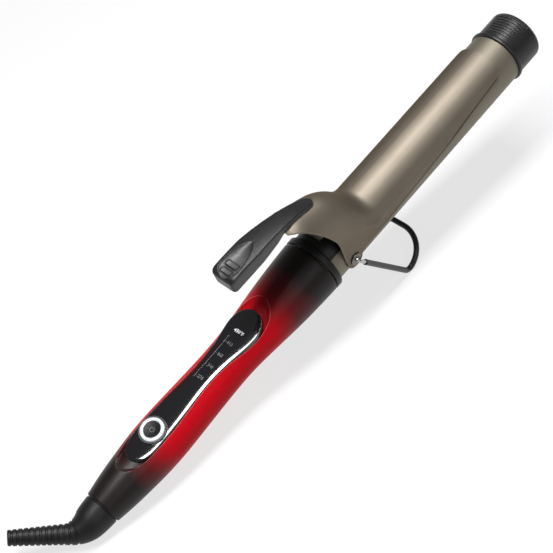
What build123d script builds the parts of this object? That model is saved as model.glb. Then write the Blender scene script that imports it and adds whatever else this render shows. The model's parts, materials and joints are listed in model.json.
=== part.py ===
from build123d import *
from math import cos, radians, sin, sqrt, tan
import os

# Curling iron.  Millimetres and degrees.
#
# The pieces are drawn in the iron's own frame: X runs along the barrel's axis from the handle's tail (0)
# to the tip, Z points to the side of the lever, and Y is square to both.  The handle leans a little off the
# barrel's axis, so its pieces have a frame of their own.  Last, the whole iron is stood on its rest stand
# and its tail, with the origin under the middle of its box.

# ---- driving dimensions -------------------------------------------------------------------------------
# handle
HANDLE_LENGTH = 167.2
HANDLE_PROFILE = (
    (0, 10.3), (4, 10.95), (13, 12.2), (23, 13.2), (33, 14.0), (46, 14.4), (64, 13.9), (80, 13.3),
    (95, 12.95), (106, 13.2), (117, 14.1), (138, 16.2), (152, 17.2), (HANDLE_LENGTH, 17.9),
)
HANDLE_WALL = 2.2
HANDLE_LEAN = 1.1
RECESS_EDGE = (
    (18.2, 0), (20.4, 4.3), (26, 7.2), (35, 8.6), (45, 8.95), (60, 8.2), (84, 6.7), (99, 8.0),
    (111, 10.0), (121, 10.2), (130, 7.3), (134.2, 0),
)
PANEL_EDGE = (
    (25.8, 0), (27.4, 4.6), (33, 7.6), (44.8, 8.5), (60, 7.5), (84, 6.0), (99, 7.3),
    (111, 9.2), (119, 9.2), (125.5, 6.2), (128.2, 0),
)
RECESS_DEPTH = 7.4
RECESS_FLOOR_WALL = 1.6
PANEL_INSET = 1.8
PANEL_WALL = 1.6

# board and light levels
BOARD_BOTTOM = 1.6
BOARD_THICKNESS = 1.6
BOARD_START, BOARD_END = 22, 150
BOARD_WIDTH = 17
LEVEL_STATIONS = (81.2, 89.0, 96.8, 104.5, 112.2)

# power button
BUTTON_STATION = 44.8
BUTTON_RING_RADIUS = 6.6
BUTTON_CAP_RADIUS = 4.75
BUTTON_TOP = 14.3
BUTTON_TRAVEL = 0.6
BEZEL_RADIUS = 7.75

# barrel
BARREL_RADIUS = 16
BARREL_WALL = 1.2
BARREL_START, BARREL_END = 169.2, 331.2
COLLAR_START, COLLAR_END = 167.6, 171.6
COLLAR_RADIUS = 18
TIP_END = 352.2
TIP_RADIUS = 16.05
TIP_RIM_RADIUS = 17.1
HEATER_START, HEATER_END = 205, 298
HEATER_GAP = 2.05

# hinge that the clip and the stand share
HINGE_STATION = 184
EYELET_RADIUS = 2.5
EYELET_FLANGE_RADIUS = 3.7
HINGE_RUNNING_FIT = 0.05

# clip and lever
CLIP_INNER_RADIUS = 16.45
CLIP_SHEET = 0.9
CLIP_END = 319.2
EAR_RADIUS = 6
# hood stations: place along the axis, crown height, height of the shoulder, half-width
HOOD_STATIONS = (
    (210.5, 17.35, 0, 17.35), (207.3, 18.0, 0.5, 17.35), (204.2, 20.4, 2, 17.35), (199.5, 27.0, 5, 17.35),
    (194, 34.1, 8, 17.35), (187, 40.4, 11, 17.35), (179.2, 44.4, 14, 17.6), (172, 47.3, 16, 18.6),
    (165, 49.5, 18, 21), (158, 50.9, 20, 25),
)
TONGUE_START = 120
TONGUE_HALF_WIDTH = 5.6
LEVER_START, LEVER_FRONT = 116.2, 181.5
LEVER_HALF_WIDTH = 7.5
LEVER_BOTTOM = 48.8
LEVER_CREST = ((122, 58.8), (135, 58.5), (150, 56.6), (162, 53.7), (172, 50.1), (LEVER_FRONT, 45.2))
# the thumb scoop is a cone with a round end, its point on the crest towards the hood
SCOOP_POINT = (142, 57.6)
SCOOP_TILT = 19
SCOOP_HALF_ANGLE = 22
SCOOP_REACH = 19.2
RIDGE_STATIONS = (121.6, 126.2)
RIVET_STATIONS = (134, 152)
SPRING_ROUTE = (
    (198.6, 23.9), (194.6, 29.0), (190.4, 31.4), (185.2, 28.3), (180.6, 20.6), (178.2, 17.2), (175.6, 17.4),
)

# rest stand
WIRE_RADIUS = 1.1
SLEEVE_RADIUS = 1.65
STAND_LEAN = 29.5
STAND_LEG = 59.5
STAND_REACH = 21
STAND_BOW_RADIUS = 16
STAND_BEND_RADIUS = 4.5
STAND_HOOK_RADIUS = 1.5
STAND_HALF_WIDTH = 19.4
REST_TILT = 9.96

# swivel and boot
BUSH_RADIUS = 7
SPINDLE_RADIUS = 5
BOOT_GAP = 0.6
BOOT_SECTIONS = ((0, 9.8), (4.5, 9.55), (9, 9.1), (15, 7.4), (19, 6.2), (22.6, 5.35))
BOOT_STRAIGHT = 9
BOOT_BEND_RADIUS = 17
BOOT_BEND = 46
BOOT_TAIL = 29
BOOT_TURN = 32
RIB_COUNT = 12
CORD_RADIUS = 2.7
CORD_GRIP = 12

pieces = {}


# ---- frames -------------------------------------------------------------------------------------------
TOOL_FRAME = Location((0, 0, 0))
HANDLE_FRAME = (
    Location((HANDLE_LENGTH, 0, 0), (0, -HANDLE_LEAN, 0)) * Location((-HANDLE_LENGTH, 0, 0))
)
SWIVEL_FRAME = HANDLE_FRAME * Location((0, 0, 0), (BOOT_TURN - 90, 0, 0))


def keep(piece, name, frame=TOOL_FRAME):
    """Put a finished piece in its place on the iron, under its name."""
    pieces[name] = piece.part.moved(frame)


# ---- shapes that several pieces share -----------------------------------------------------------------
def grip_solid(inset, start=0.0, end=HANDLE_LENGTH):
    """The handle's turned shape drawn in by inset, between two stations."""
    with BuildPart() as grip:
        with BuildSketch(Plane.XZ):
            with BuildLine():
                outline = Spline(*[(x, radius - inset) for x, radius in HANDLE_PROFILE])
                Polyline(outline @ 1, (HANDLE_LENGTH, 0), (0, 0), outline @ 0)
            make_face()
            with Locations(((start + end) / 2, 15)):
                Rectangle(end - start, 30, mode=Mode.INTERSECT)
        revolve(axis=Axis.X)
    return grip.part


def oval_prism(edge, grow=0.0):
    """A prism square to the lever side, with a long wavy outline mirrored about the axis."""
    half_length = (edge[-1][0] - edge[0][0]) / 2
    middle = edge[0][0] + half_length
    half_width = max(y for x, y in edge)
    along = 1 + grow / half_length
    across = 1 + grow / half_width
    with BuildPart() as prism:
        with BuildSketch(Plane.XY):
            with BuildLine():
                upper = [(middle + (x - middle) * along, y * across) for x, y in edge]
                lower = [(x, -y) for x, y in reversed(upper[1:-1])]
                Spline(*upper, *lower, periodic=True)
            make_face()
        extrude(amount=30)
    return prism.part


def above_floor(depth):
    """Everything above a floor that follows the handle's crest at a given depth."""
    with BuildPart() as space:
        with BuildSketch(Plane.XZ):
            with BuildLine():
                floor = Spline(*[(x, radius - depth) for x, radius in HANDLE_PROFILE])
                Polyline(floor @ 1, (HANDLE_LENGTH, 40), (0, 40), floor @ 0)
            make_face()
        extrude(amount=30, both=True)
    return space.part


def crest(station):
    """Radius of the handle at a station, read off its outline."""
    for (x0, r0), (x1, r1) in zip(HANDLE_PROFILE, HANDLE_PROFILE[1:]):
        if x0 <= station <= x1:
            return r0 + (r1 - r0) * (station - x0) / (x1 - x0)
    return r1


# ---- handle -------------------------------------------------------------------------------------------
def make_handle_sleeve():
    """One-piece tapered sleeve with the recess for the panel and a wall under it."""
    recess = oval_prism(RECESS_EDGE) & above_floor(RECESS_DEPTH)
    pocket_wall = oval_prism(RECESS_EDGE, HANDLE_WALL)
    pocket_wall = pocket_wall & above_floor(RECESS_DEPTH + RECESS_FLOOR_WALL) & grip_solid(0.6)
    with BuildPart() as handle_sleeve:
        add(grip_solid(0))
        add(grip_solid(HANDLE_WALL, start=6), mode=Mode.SUBTRACT)
        add(pocket_wall)
        add(recess, mode=Mode.SUBTRACT)
        with Locations(Location((3, 0, 0), (0, 90, 0))):
            Cylinder(BUSH_RADIUS, 8, mode=Mode.SUBTRACT)
        with Locations((BUTTON_STATION, 0, 6)):
            Cylinder(4.3, 6, mode=Mode.SUBTRACT)
        with Locations([(x, 0, crest(x) - RECESS_DEPTH - 1) for x in LEVEL_STATIONS]):
            Cylinder(1.2, 6, mode=Mode.SUBTRACT)
    keep(handle_sleeve, "handle_sleeve", HANDLE_FRAME)


def make_control_panel():
    """Convex gloss panel shell that sits in the recess, open for the button."""
    shell = oval_prism(PANEL_EDGE) & grip_solid(PANEL_INSET) & above_floor(RECESS_DEPTH)
    core = oval_prism(PANEL_EDGE, -PANEL_WALL) & grip_solid(PANEL_INSET + PANEL_WALL)
    with BuildPart() as control_panel:
        add(shell)
        add(core, mode=Mode.SUBTRACT)
        with Locations((BUTTON_STATION, 0, 10)):
            Cylinder(BEZEL_RADIUS + 0.05, 12, mode=Mode.SUBTRACT)
    keep(control_panel, "control_panel", HANDLE_FRAME)


def make_button_bezel():
    """Dark ring around the power button."""
    floor = crest(BUTTON_STATION) - RECESS_DEPTH + 0.05
    with BuildPart() as button_bezel:
        with BuildSketch(Plane.XY.offset(floor)):
            with Locations((BUTTON_STATION, 0)):
                Circle(BEZEL_RADIUS)
                Circle(BUTTON_RING_RADIUS + 0.2, mode=Mode.SUBTRACT)
        extrude(amount=BUTTON_TOP - 0.9 - floor)
        rim = button_bezel.edges().filter_by(GeomType.CIRCLE).group_by(Axis.Z)[-1]
        chamfer(rim, 0.15)
    keep(button_bezel, "button_bezel", HANDLE_FRAME)


def make_button_ring():
    """Bright ring of the power button."""
    bottom = crest(BUTTON_STATION) - RECESS_DEPTH + BUTTON_TRAVEL + 0.2
    with BuildPart() as button_ring:
        with BuildSketch(Plane.XY.offset(bottom)):
            with Locations((BUTTON_STATION, 0)):
                Circle(BUTTON_RING_RADIUS)
                Circle(BUTTON_CAP_RADIUS, mode=Mode.SUBTRACT)
        extrude(amount=BUTTON_TOP - bottom)
        rim = button_ring.edges().filter_by(GeomType.CIRCLE).group_by(Axis.Z)[-1]
        fillet(rim, 0.7)
    keep(button_ring, "button_ring", HANDLE_FRAME)


def make_button_cap():
    """Dark centre of the power button with its stem and two snap feet."""
    stem_bottom = BOARD_BOTTOM + BOARD_THICKNESS + 3.4
    disc_bottom = crest(BUTTON_STATION) - RECESS_DEPTH + BUTTON_TRAVEL + 0.2
    with BuildPart() as button_cap:
        with Locations((BUTTON_STATION, 0, (BUTTON_TOP - 0.4 + disc_bottom) / 2)):
            Cylinder(BUTTON_CAP_RADIUS, BUTTON_TOP - 0.4 - disc_bottom)
        with Locations((BUTTON_STATION, 0, (disc_bottom + stem_bottom) / 2)):
            Cylinder(4.0, disc_bottom - stem_bottom)
        with Locations((BUTTON_STATION, 0, BUTTON_TOP + 29.2)):
            Sphere(30, mode=Mode.SUBTRACT)
    keep(button_cap, "button_cap", HANDLE_FRAME)


# ---- inside the handle --------------------------------------------------------------------------------
def make_chassis_cradle():
    """Half-round liner with three bulkheads that carry the circuit board."""
    start, end = 14, 158
    with BuildPart() as chassis_cradle:
        add(grip_solid(HANDLE_WALL + 0.2, start, end))
        add(grip_solid(HANDLE_WALL + 1.8, start, end), mode=Mode.SUBTRACT)
        for station, thickness in ((32, 3), (70, 4), (140, 4)):
            add(grip_solid(HANDLE_WALL + 1.8, station - thickness / 2, station + thickness / 2))
        with Locations(((start + end) / 2, 0, 20 + BOARD_BOTTOM)):
            Box(end, 40, 40, mode=Mode.SUBTRACT)
        with Locations(Location(((start + end) / 2, 0, -4), (0, 90, 0))):
            Cylinder(4, end - start, mode=Mode.SUBTRACT)
        with Locations((70, 5.5, BOARD_BOTTOM - 2.2), (140, 5.5, BOARD_BOTTOM - 2.2)):
            Cylinder(1.02, 5, mode=Mode.SUBTRACT)
    keep(chassis_cradle, "chassis_cradle", HANDLE_FRAME)


def make_circuit_board():
    """Narrow board with two screw holes."""
    middle = (BOARD_START + BOARD_END) / 2
    with BuildPart() as circuit_board:
        with Locations((middle, 0, BOARD_BOTTOM + BOARD_THICKNESS / 2)):
            Box(BOARD_END - BOARD_START, BOARD_WIDTH, BOARD_THICKNESS)
        fillet(circuit_board.edges().filter_by(Axis.Z), 2)
        with Locations((70, 5.5, BOARD_BOTTOM), (140, 5.5, BOARD_BOTTOM)):
            Cylinder(1.1, 6, mode=Mode.SUBTRACT)
    keep(circuit_board, "circuit_board", HANDLE_FRAME)


def make_board_components():
    """Capacitors, switching device, transformer and controller, each a solid against the board."""
    with BuildPart() as board_components:
        with Locations(Location((108, 0, BOARD_BOTTOM - 4), (0, 90, 0))):
            Cylinder(4, 12)
        with Locations(Location((124, 0, BOARD_BOTTOM - 4), (0, 90, 0))):
            Cylinder(4, 12)
        with Locations((54, 0, BOARD_BOTTOM - 2)):
            Box(15, 10, 4)
        with Locations((86, 0, BOARD_BOTTOM - 3.5)):
            Box(14, 12, 7)
        with Locations((62, 0, BOARD_BOTTOM + BOARD_THICKNESS + 0.5)):
            Box(8, 6, 1)
    keep(board_components, "board_components", HANDLE_FRAME)


def make_tact_switch():
    """Small push switch under the power button."""
    top = BOARD_BOTTOM + BOARD_THICKNESS
    with BuildPart() as tact_switch:
        with Locations((BUTTON_STATION, 0, top + 0.9)):
            Box(5.6, 5.6, 1.8)
        with Locations((BUTTON_STATION, 0, top + 2.2)):
            Cylinder(1.7, 0.8)
    keep(tact_switch, "tact_switch", HANDLE_FRAME)


def make_level_lights():
    """One light on the board for each heat level."""
    with BuildPart() as level_lights:
        with Locations([(x, 0, BOARD_BOTTOM + BOARD_THICKNESS + 0.3) for x in LEVEL_STATIONS]):
            Box(2, 1.25, 0.6)
    keep(level_lights, "level_lights", HANDLE_FRAME)


def make_light_guides():
    """Clear rods that carry each level light up to the panel."""
    bottom = BOARD_BOTTOM + BOARD_THICKNESS + 0.8
    with BuildPart() as light_guides:
        for x in LEVEL_STATIONS:
            top = crest(x) - PANEL_INSET - PANEL_WALL - 0.2
            with Locations((x, 0, (bottom + top) / 2)):
                Cylinder(1.0, top - bottom)
    keep(light_guides, "light_guides", HANDLE_FRAME)


def make_board_screws():
    """Two pan-head screws that hold the board to the cradle."""
    top = BOARD_BOTTOM + BOARD_THICKNESS
    with BuildPart() as board_screws:
        with Locations((70, 5.5, top - 3), (140, 5.5, top - 3)):
            Cylinder(1.0, 6)
        with Locations((70, 5.5, top + 0.3), (140, 5.5, top + 0.3)):
            Cylinder(1.9, 0.6)
    keep(board_screws, "board_screws", HANDLE_FRAME)


# ---- barrel -------------------------------------------------------------------------------------------
def turned(profile):
    """A solid turned about the barrel's axis from a closed outline of stations and radii."""
    with BuildPart() as solid:
        with BuildSketch(Plane.XZ):
            with BuildLine():
                Polyline(*profile, close=True)
            make_face()
        revolve(axis=Axis.X)
    return solid


def make_barrel_tube():
    """Long heated tube with holes for the hinge eyelets and the neck screws."""
    length = BARREL_END - BARREL_START
    with BuildPart() as barrel_tube:
        with BuildSketch(Plane.YZ.offset(BARREL_START)):
            Circle(BARREL_RADIUS)
            Circle(BARREL_RADIUS - BARREL_WALL, mode=Mode.SUBTRACT)
        extrude(amount=length)
        with Locations(Location((HINGE_STATION, 0, 0), (90, 0, 0))):
            Cylinder(EYELET_RADIUS + 0.02, 50, mode=Mode.SUBTRACT)
        for turn in (150, 210):
            with Locations(Location((178, 0, 0), (turn, 0, 0)) * Location((0, 0, 16))):
                Cylinder(1.55, 8, mode=Mode.SUBTRACT)
    keep(barrel_tube, "barrel_tube")


def make_collar_ring():
    """Rounded ring that closes the joint of handle and barrel."""
    with BuildPart() as collar_ring:
        with BuildSketch(Plane.YZ.offset(COLLAR_START)):
            Circle(COLLAR_RADIUS)
            Circle(BARREL_RADIUS, mode=Mode.SUBTRACT)
        extrude(amount=COLLAR_END - COLLAR_START)
        rim = collar_ring.edges().filter_by(GeomType.CIRCLE).sort_by(SortBy.RADIUS)[-2:]
        fillet(rim, 0.8)
    keep(collar_ring, "collar_ring")


def make_barrel_insulator():
    """Heat-proof plug that carries the barrel and reaches down into the handle."""
    bore = 10
    plug = BARREL_RADIUS - BARREL_WALL - 0.05
    barrel_insulator = turned((
        (152, bore), (152, 13.2), (COLLAR_START, 13.2), (COLLAR_START, 15.9), (BARREL_START, 15.9),
        (BARREL_START, plug), (190, plug), (190, bore),
    ))
    with barrel_insulator:
        with Locations(Location((HINGE_STATION, 0, 0), (90, 0, 0))):
            Cylinder(EYELET_RADIUS + 0.02, 50, mode=Mode.SUBTRACT)
        for turn in (150, 210):
            with Locations(Location((178, 0, 0), (turn, 0, 0)) * Location((0, 0, 14))):
                Cylinder(1.3, 10, mode=Mode.SUBTRACT)
    keep(barrel_insulator, "barrel_insulator")


def make_neck_screws():
    """Two countersunk screws through the tube's end into the insulator."""
    with BuildPart() as neck_screws:
        for turn in (150, 210):
            with Locations(Location((178, 0, 0), (turn, 0, 0)) * Location((0, 0, 13.1))):
                Cylinder(1.25, 4.8)
            with Locations(Location((178, 0, 0), (turn, 0, 0)) * Location((0, 0, 15.4))):
                Cylinder(1.5, 1.0)
    keep(neck_screws, "neck_screws")


def make_heater_block(name, side):
    """Half-round aluminium block, hollowed, pressed to the barrel's wall by the ceramic plate."""
    with BuildPart() as block:
        with BuildSketch(Plane.YZ.offset(HEATER_START)):
            Circle(BARREL_RADIUS - BARREL_WALL - 0.15)
            with Locations((0, side * (20 + HEATER_GAP))):
                Rectangle(40, 40, mode=Mode.INTERSECT)
            with Locations((0, side * 7.6)):
                SlotCenterToCenter(8, 6.4, mode=Mode.SUBTRACT)
        extrude(amount=HEATER_END - HEATER_START)
    keep(block, name)


def make_ceramic_heater():
    """Ceramic heating plate between the two blocks."""
    with BuildPart() as ceramic_heater:
        with Locations(((HEATER_START + HEATER_END) / 2, 0, 0)):
            Box(HEATER_END - HEATER_START - 6, 20, 3.2)
    keep(ceramic_heater, "ceramic_heater")


def make_insulating_sheets():
    """Two thin sheets that insulate the plate from the blocks."""
    with BuildPart() as insulating_sheets:
        middle = (HEATER_START + HEATER_END) / 2
        with Locations((middle, 0, 1.8), (middle, 0, -1.8)):
            Box(HEATER_END - HEATER_START - 4, 22, 0.3)
    keep(insulating_sheets, "insulating_sheets")


def make_thermistor():
    """Temperature bead in its sleeve, in the upper block's hollow."""
    with BuildPart() as thermistor:
        with Locations(Location((HEATER_START + 12, 0, 7.6), (0, 90, 0))):
            Cylinder(1.5, 16)
        fillet(thermistor.edges().filter_by(GeomType.CIRCLE), 0.6)
    keep(thermistor, "thermistor")


def make_thermal_fuse():
    """Cut-out in the lower block's hollow."""
    with BuildPart() as thermal_fuse:
        with Locations(Location((HEATER_START + 14, 0, -7.6), (0, 90, 0))):
            Cylinder(1.9, 12)
        with Locations(Location((HEATER_START + 14, 0, -7.6), (0, 90, 0))):
            Cylinder(0.5, 22)
    keep(thermal_fuse, "thermal_fuse")


def make_heater_leads():
    """Two insulated leads from the board to the ceramic plate."""
    start, end = 153, HEATER_START + 2.8
    with BuildPart() as heater_leads:
        for side in (-1, 1):
            with Locations(Location(((start + end) / 2, side * 6, 0), (0, 90, 0))):
                Cylinder(0.9, end - start)
    keep(heater_leads, "heater_leads")


# ---- tip ----------------------------------------------------------------------------------------------
def tip_field(half_start, half_end, start, end):
    """Prism over the sunk field of ribs, wider towards the tip."""
    corners = ((start, -half_start), (end, -half_end), (end, half_end), (start, half_start))
    with BuildPart() as prism:
        with BuildSketch(Plane.XY) as field:
            with BuildLine():
                Polyline(*corners, close=True)
            make_face()
            fillet(field.vertices(), 1.2)
        extrude(amount=30)
    return prism.part


def make_cool_tip():
    """Cap with a rim, a sunk field with raised ribs, and a recess for its screw."""
    rim_start = BARREL_END + 0.15
    spigot = BARREL_RADIUS - BARREL_WALL - 0.05
    profile = (
        (320, 12.6), (320, spigot), (rim_start, spigot), (rim_start, TIP_RIM_RADIUS),
        (rim_start + 2.2, TIP_RIM_RADIUS), (rim_start + 2.2, TIP_RADIUS), (TIP_END, TIP_RADIUS),
        (TIP_END, 4.8), (TIP_END - 2.8, 4.8), (TIP_END - 2.8, 2.2), (340, 2.2), (340, 6),
        (347, 6), (347, 12.6),
    )
    rib_starts = [337.4 + 2.15 * index for index in range(6)]
    field = tip_field(6.6, 10.6, 336, 349.6)
    with BuildPart() as shell:
        with BuildSketch(Plane.YZ.offset(335)):
            Circle(TIP_RADIUS + 1)
            Circle(TIP_RADIUS - 0.85, mode=Mode.SUBTRACT)
        extrude(amount=16)
    with BuildPart() as ribs:
        for start in rib_starts:
            with BuildSketch(Plane.YZ.offset(start)):
                Circle(TIP_RADIUS - 0.1)
                Circle(TIP_RADIUS - 1.2, mode=Mode.SUBTRACT)
            extrude(amount=1.05)
    cap = turned(profile)
    with cap:
        end_rim = cap.edges().filter_by(GeomType.CIRCLE).group_by(Axis.X)[-1].sort_by(SortBy.RADIUS)[-1]
        fillet(end_rim, 3)
        shoulder = cap.edges().filter_by(GeomType.CIRCLE).sort_by(SortBy.RADIUS)[-2:]
        fillet(shoulder, 0.5)
        add(field & shell.part, mode=Mode.SUBTRACT)
        add(ribs.part & tip_field(6.2, 10.1, 336, 349.6))
    keep(cap, "cool_tip")


def make_tip_insulator():
    """Disc that closes the barrel behind the tip."""
    radius = BARREL_RADIUS - BARREL_WALL - 0.05
    profile = ((306, 2.2), (306, radius), (309, radius), (309, 8), (316, 8), (316, 2.2))
    keep(turned(profile), "tip_insulator")


def make_tip_screw():
    """Long screw that draws the cap to the heater core."""
    head = TIP_END - 2.8
    profile = ((300, 0), (300, 2.0), (head, 2.0), (head, 3.8), (head + 2, 3.8), (head + 2, 0))
    keep(turned(profile), "tip_screw")


# ---- hinge --------------------------------------------------------------------------------------------
def make_hinge_eyelets():
    """Two hollow rivets: the clip's ears turn on them and the stand's wire ends turn in them."""
    with BuildPart() as hinge_eyelets:
        for side in (-1, 1):
            with Locations(Location((HINGE_STATION, side * 15.5, 0), (90, 0, 0))):
                Cylinder(EYELET_RADIUS, 5.2)
            with Locations(Location((HINGE_STATION, side * 18.1, 0), (90, 0, 0))):
                Cylinder(EYELET_FLANGE_RADIUS, 0.6)
        rims = hinge_eyelets.edges().filter_by(GeomType.CIRCLE).filter_by(
            lambda edge: edge.radius > EYELET_RADIUS + 1 and abs(edge.center().Y) > 18
        )
        fillet(rims, 0.3)
        with Locations(Location((HINGE_STATION, 0, 0), (90, 0, 0))):
            Cylinder(WIRE_RADIUS + HINGE_RUNNING_FIT, 60, mode=Mode.SUBTRACT)
    keep(hinge_eyelets, "hinge_eyelets")


# ---- clip ---------------------------------------------------------------------------------------------
def arch_slope(index):
    """Slope of the crown line at a hood station; the jaw's end of it is level."""
    if index == 0:
        return 0
    before = HOOD_STATIONS[index - 1]
    after = HOOD_STATIONS[min(index + 1, len(HOOD_STATIONS) - 1)]
    return (after[1] - before[1]) / (after[0] - before[0])


def clip_form(sheet):
    """The hood's arch and the jaw's round, filled to below the axis and drawn in by a sheet thickness."""
    with BuildPart() as form:
        for index, (x, crown, shoulder, half_width) in enumerate(HOOD_STATIONS):
            top = crown - sheet * sqrt(1 + arch_slope(index) ** 2)
            side = half_width - sheet
            arch = [
                (side * cos(radians(turn)), shoulder + (top - shoulder) * sin(radians(turn)))
                for turn in range(0, 181, 20)
            ]
            with BuildSketch(Plane.YZ.offset(x)):
                with BuildLine():
                    Spline(*arch, tangents=((0, 1), (0, -1)))
                    Polyline(arch[-1], (-side, -10), (side, -10), arch[0])
                make_face()
        loft()
        extrude(form.faces().sort_by(Axis.X)[-1], amount=CLIP_END + 4 - HOOD_STATIONS[0][0])
    return form.part


def clip_side_prism():
    """What is kept of the clip seen from the side: its long edge climbs towards the rounded end."""
    corner = (CLIP_END, 8.4)
    with BuildPart() as prism:
        with BuildSketch(Plane.XZ) as outline:
            with BuildLine():
                Polyline((110, 0), (205, 0), corner, (CLIP_END, 70), (110, 70), close=True)
            make_face()
            fillet(outline.vertices().sort_by_distance(corner)[0], 7)
        extrude(amount=40, both=True)
    return prism.part


def clip_plan_prism():
    """What is kept of the clip seen from above: the tongue widens into the hood."""
    edge = ((150, TONGUE_HALF_WIDTH), (158, 7.2), (170, 13), (178, 16.7), (181.5, 22))
    with BuildPart() as prism:
        with BuildSketch(Plane.XY.offset(-20)):
            with BuildLine():
                side = Spline(*edge)
                Polyline(side @ 1, (CLIP_END + 1, 22), (CLIP_END + 1, 0), (150, 0), side @ 0)
            make_face()
            mirror(about=Plane.XZ)
        extrude(amount=100)
    return prism.part


def make_clip_plate():
    """Jaw, flared hood, tongue and ears, bent from one sheet."""
    crown = HOOD_STATIONS[-1][1]
    with BuildPart() as bent:
        add(clip_form(0))
        add(clip_form(CLIP_SHEET), mode=Mode.SUBTRACT)
    sheet = bent.part & clip_side_prism() & clip_plan_prism()
    with BuildPart() as clip_plate:
        add(sheet)
        tongue_end = HOOD_STATIONS[-1][0] + 0.3
        with Locations(((TONGUE_START + tongue_end) / 2, 0, crown - CLIP_SHEET / 2 - 0.3)):
            Box(tongue_end - TONGUE_START, 2 * TONGUE_HALF_WIDTH, CLIP_SHEET)
        for side in (-1, 1):
            ear = (HINGE_STATION, side * (CLIP_INNER_RADIUS + CLIP_SHEET / 2), 0)
            with Locations(Location(ear, (90, 0, 0))):
                Cylinder(EAR_RADIUS, CLIP_SHEET)
                Cylinder(EYELET_RADIUS + HINGE_RUNNING_FIT, 4 * CLIP_SHEET, mode=Mode.SUBTRACT)
        with Locations([(x, 0, crown) for x in RIVET_STATIONS]):
            Cylinder(1.5, 6, mode=Mode.SUBTRACT)
    keep(clip_plate, "clip_plate")


def lever_side_prism():
    """Lever cover seen from the side: rounded nose, falling crest, and a front that ends on the hood."""
    nose_top = (LEVER_START, LEVER_CREST[0][1] - 3)
    nose_bend = (LEVER_START + 2.1, LEVER_CREST[0][1] - 0.8)
    with BuildPart() as prism:
        with BuildSketch(Plane.XZ):
            with BuildLine():
                top = Spline(*LEVER_CREST, tangents=((1, 0.05), (1, -0.55)))
                front = (LEVER_FRONT + 1.5, 40)
                Polyline(top @ 1, front, (160, LEVER_BOTTOM), (LEVER_START + 0.6, LEVER_BOTTOM))
                nose = Line((LEVER_START + 0.6, LEVER_BOTTOM), nose_top)
                Spline(nose @ 1, nose_bend, top @ 0, tangents=((0, 1), (1, 0.05)))
            make_face()
        extrude(amount=LEVER_HALF_WIDTH + 1, both=True)
    return prism.part


def lever_plan_prism():
    """Lever cover seen from above: blunt nose, sides that draw in to a rounded front."""
    shoulder = (140, LEVER_HALF_WIDTH)
    cheek = (176, 4.0)
    front = (LEVER_FRONT + 1.6, 0)
    with BuildPart() as prism:
        with BuildSketch(Plane.XY.offset(30)) as plan:
            with BuildLine():
                ThreePointArc(cheek, (LEVER_FRONT - 1, 2.6), front)
                Polyline(cheek, shoulder, (LEVER_START, LEVER_HALF_WIDTH), (LEVER_START, 0), front)
            make_face()
            mirror(about=Plane.XZ)
            corners = [v for v in plan.vertices() if v.X < LEVER_START + 1 and abs(v.Y) > 1]
            fillet(corners, 2.6)
        extrude(amount=40)
    return prism.part


def thumb_scoop():
    """Round-ended cone that hollows the crest for the thumb."""
    turn = radians(SCOOP_HALF_ANGLE)
    axis = (-cos(radians(SCOOP_TILT)), 0, sin(radians(SCOOP_TILT)))
    cone_height = SCOOP_REACH * cos(turn) ** 2
    point = Plane(origin=(SCOOP_POINT[0], 0, SCOOP_POINT[1]), z_dir=axis)
    with BuildPart() as scoop:
        with BuildSketch(point):
            Circle(0.02)
        with BuildSketch(point.offset(cone_height)):
            Circle(cone_height * tan(turn))
        loft()
        with Locations(point.offset(SCOOP_REACH)):
            Sphere(SCOOP_REACH * sin(turn))
    return scoop.part


def make_lever_cover():
    """Moulded cover over the tongue, with a thumb scoop and two ridges."""
    tongue_top = HOOD_STATIONS[-1][1] - 0.3
    tongue_middle = ((TONGUE_START + 159) / 2 - 0.3, 0, tongue_top - CLIP_SHEET / 2)
    with BuildPart() as ridges:
        for x in RIDGE_STATIONS:
            with Locations((x, 0, LEVER_CREST[0][1] - 1.8)):
                Box(2.5, 7.2, 2.4)
        fillet(ridges.edges().filter_by(Axis.Z), 1.0)
        fillet(ridges.edges().group_by(Axis.Z)[-1], 0.4)
    body = lever_side_prism() & lever_plan_prism()
    with BuildPart() as lever_cover:
        add(body)
        add(thumb_scoop(), mode=Mode.SUBTRACT)
        add(ridges.part)
        add(clip_form(-0.03), mode=Mode.SUBTRACT)
        with Locations(tongue_middle):
            Box(159 - TONGUE_START, 2 * TONGUE_HALF_WIDTH + 0.2, CLIP_SHEET + 0.06, mode=Mode.SUBTRACT)
        with Locations([(x, 0, LEVER_BOTTOM + 2) for x in RIVET_STATIONS]):
            Cylinder(1.5, 8, mode=Mode.SUBTRACT)
        with Locations([(x, 0, LEVER_BOTTOM) for x in RIVET_STATIONS]):
            Cylinder(2.6, 1.2, mode=Mode.SUBTRACT)
    keep(lever_cover, "lever_cover")


def make_lever_rivets():
    """Two rivets from the underside that hold the cover on the tongue."""
    with BuildPart() as lever_rivets:
        with Locations([(x, 0, LEVER_BOTTOM + 2.7) for x in RIVET_STATIONS]):
            Cylinder(1.48, 5.4)
        with Locations([(x, 0, LEVER_BOTTOM + 0.25) for x in RIVET_STATIONS]):
            Cylinder(2.5, 0.7)
    keep(lever_rivets, "lever_rivets")


def make_clip_spring():
    """Leaf spring: its back lies along the inside of the hood and its foot bears on the barrel."""
    with BuildPart() as clip_spring:
        with BuildSketch(Plane.XZ):
            with BuildLine():
                Spline(*SPRING_ROUTE)
            trace(line_width=0.6)
        extrude(amount=4, both=True)
    keep(clip_spring, "clip_spring")


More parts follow.
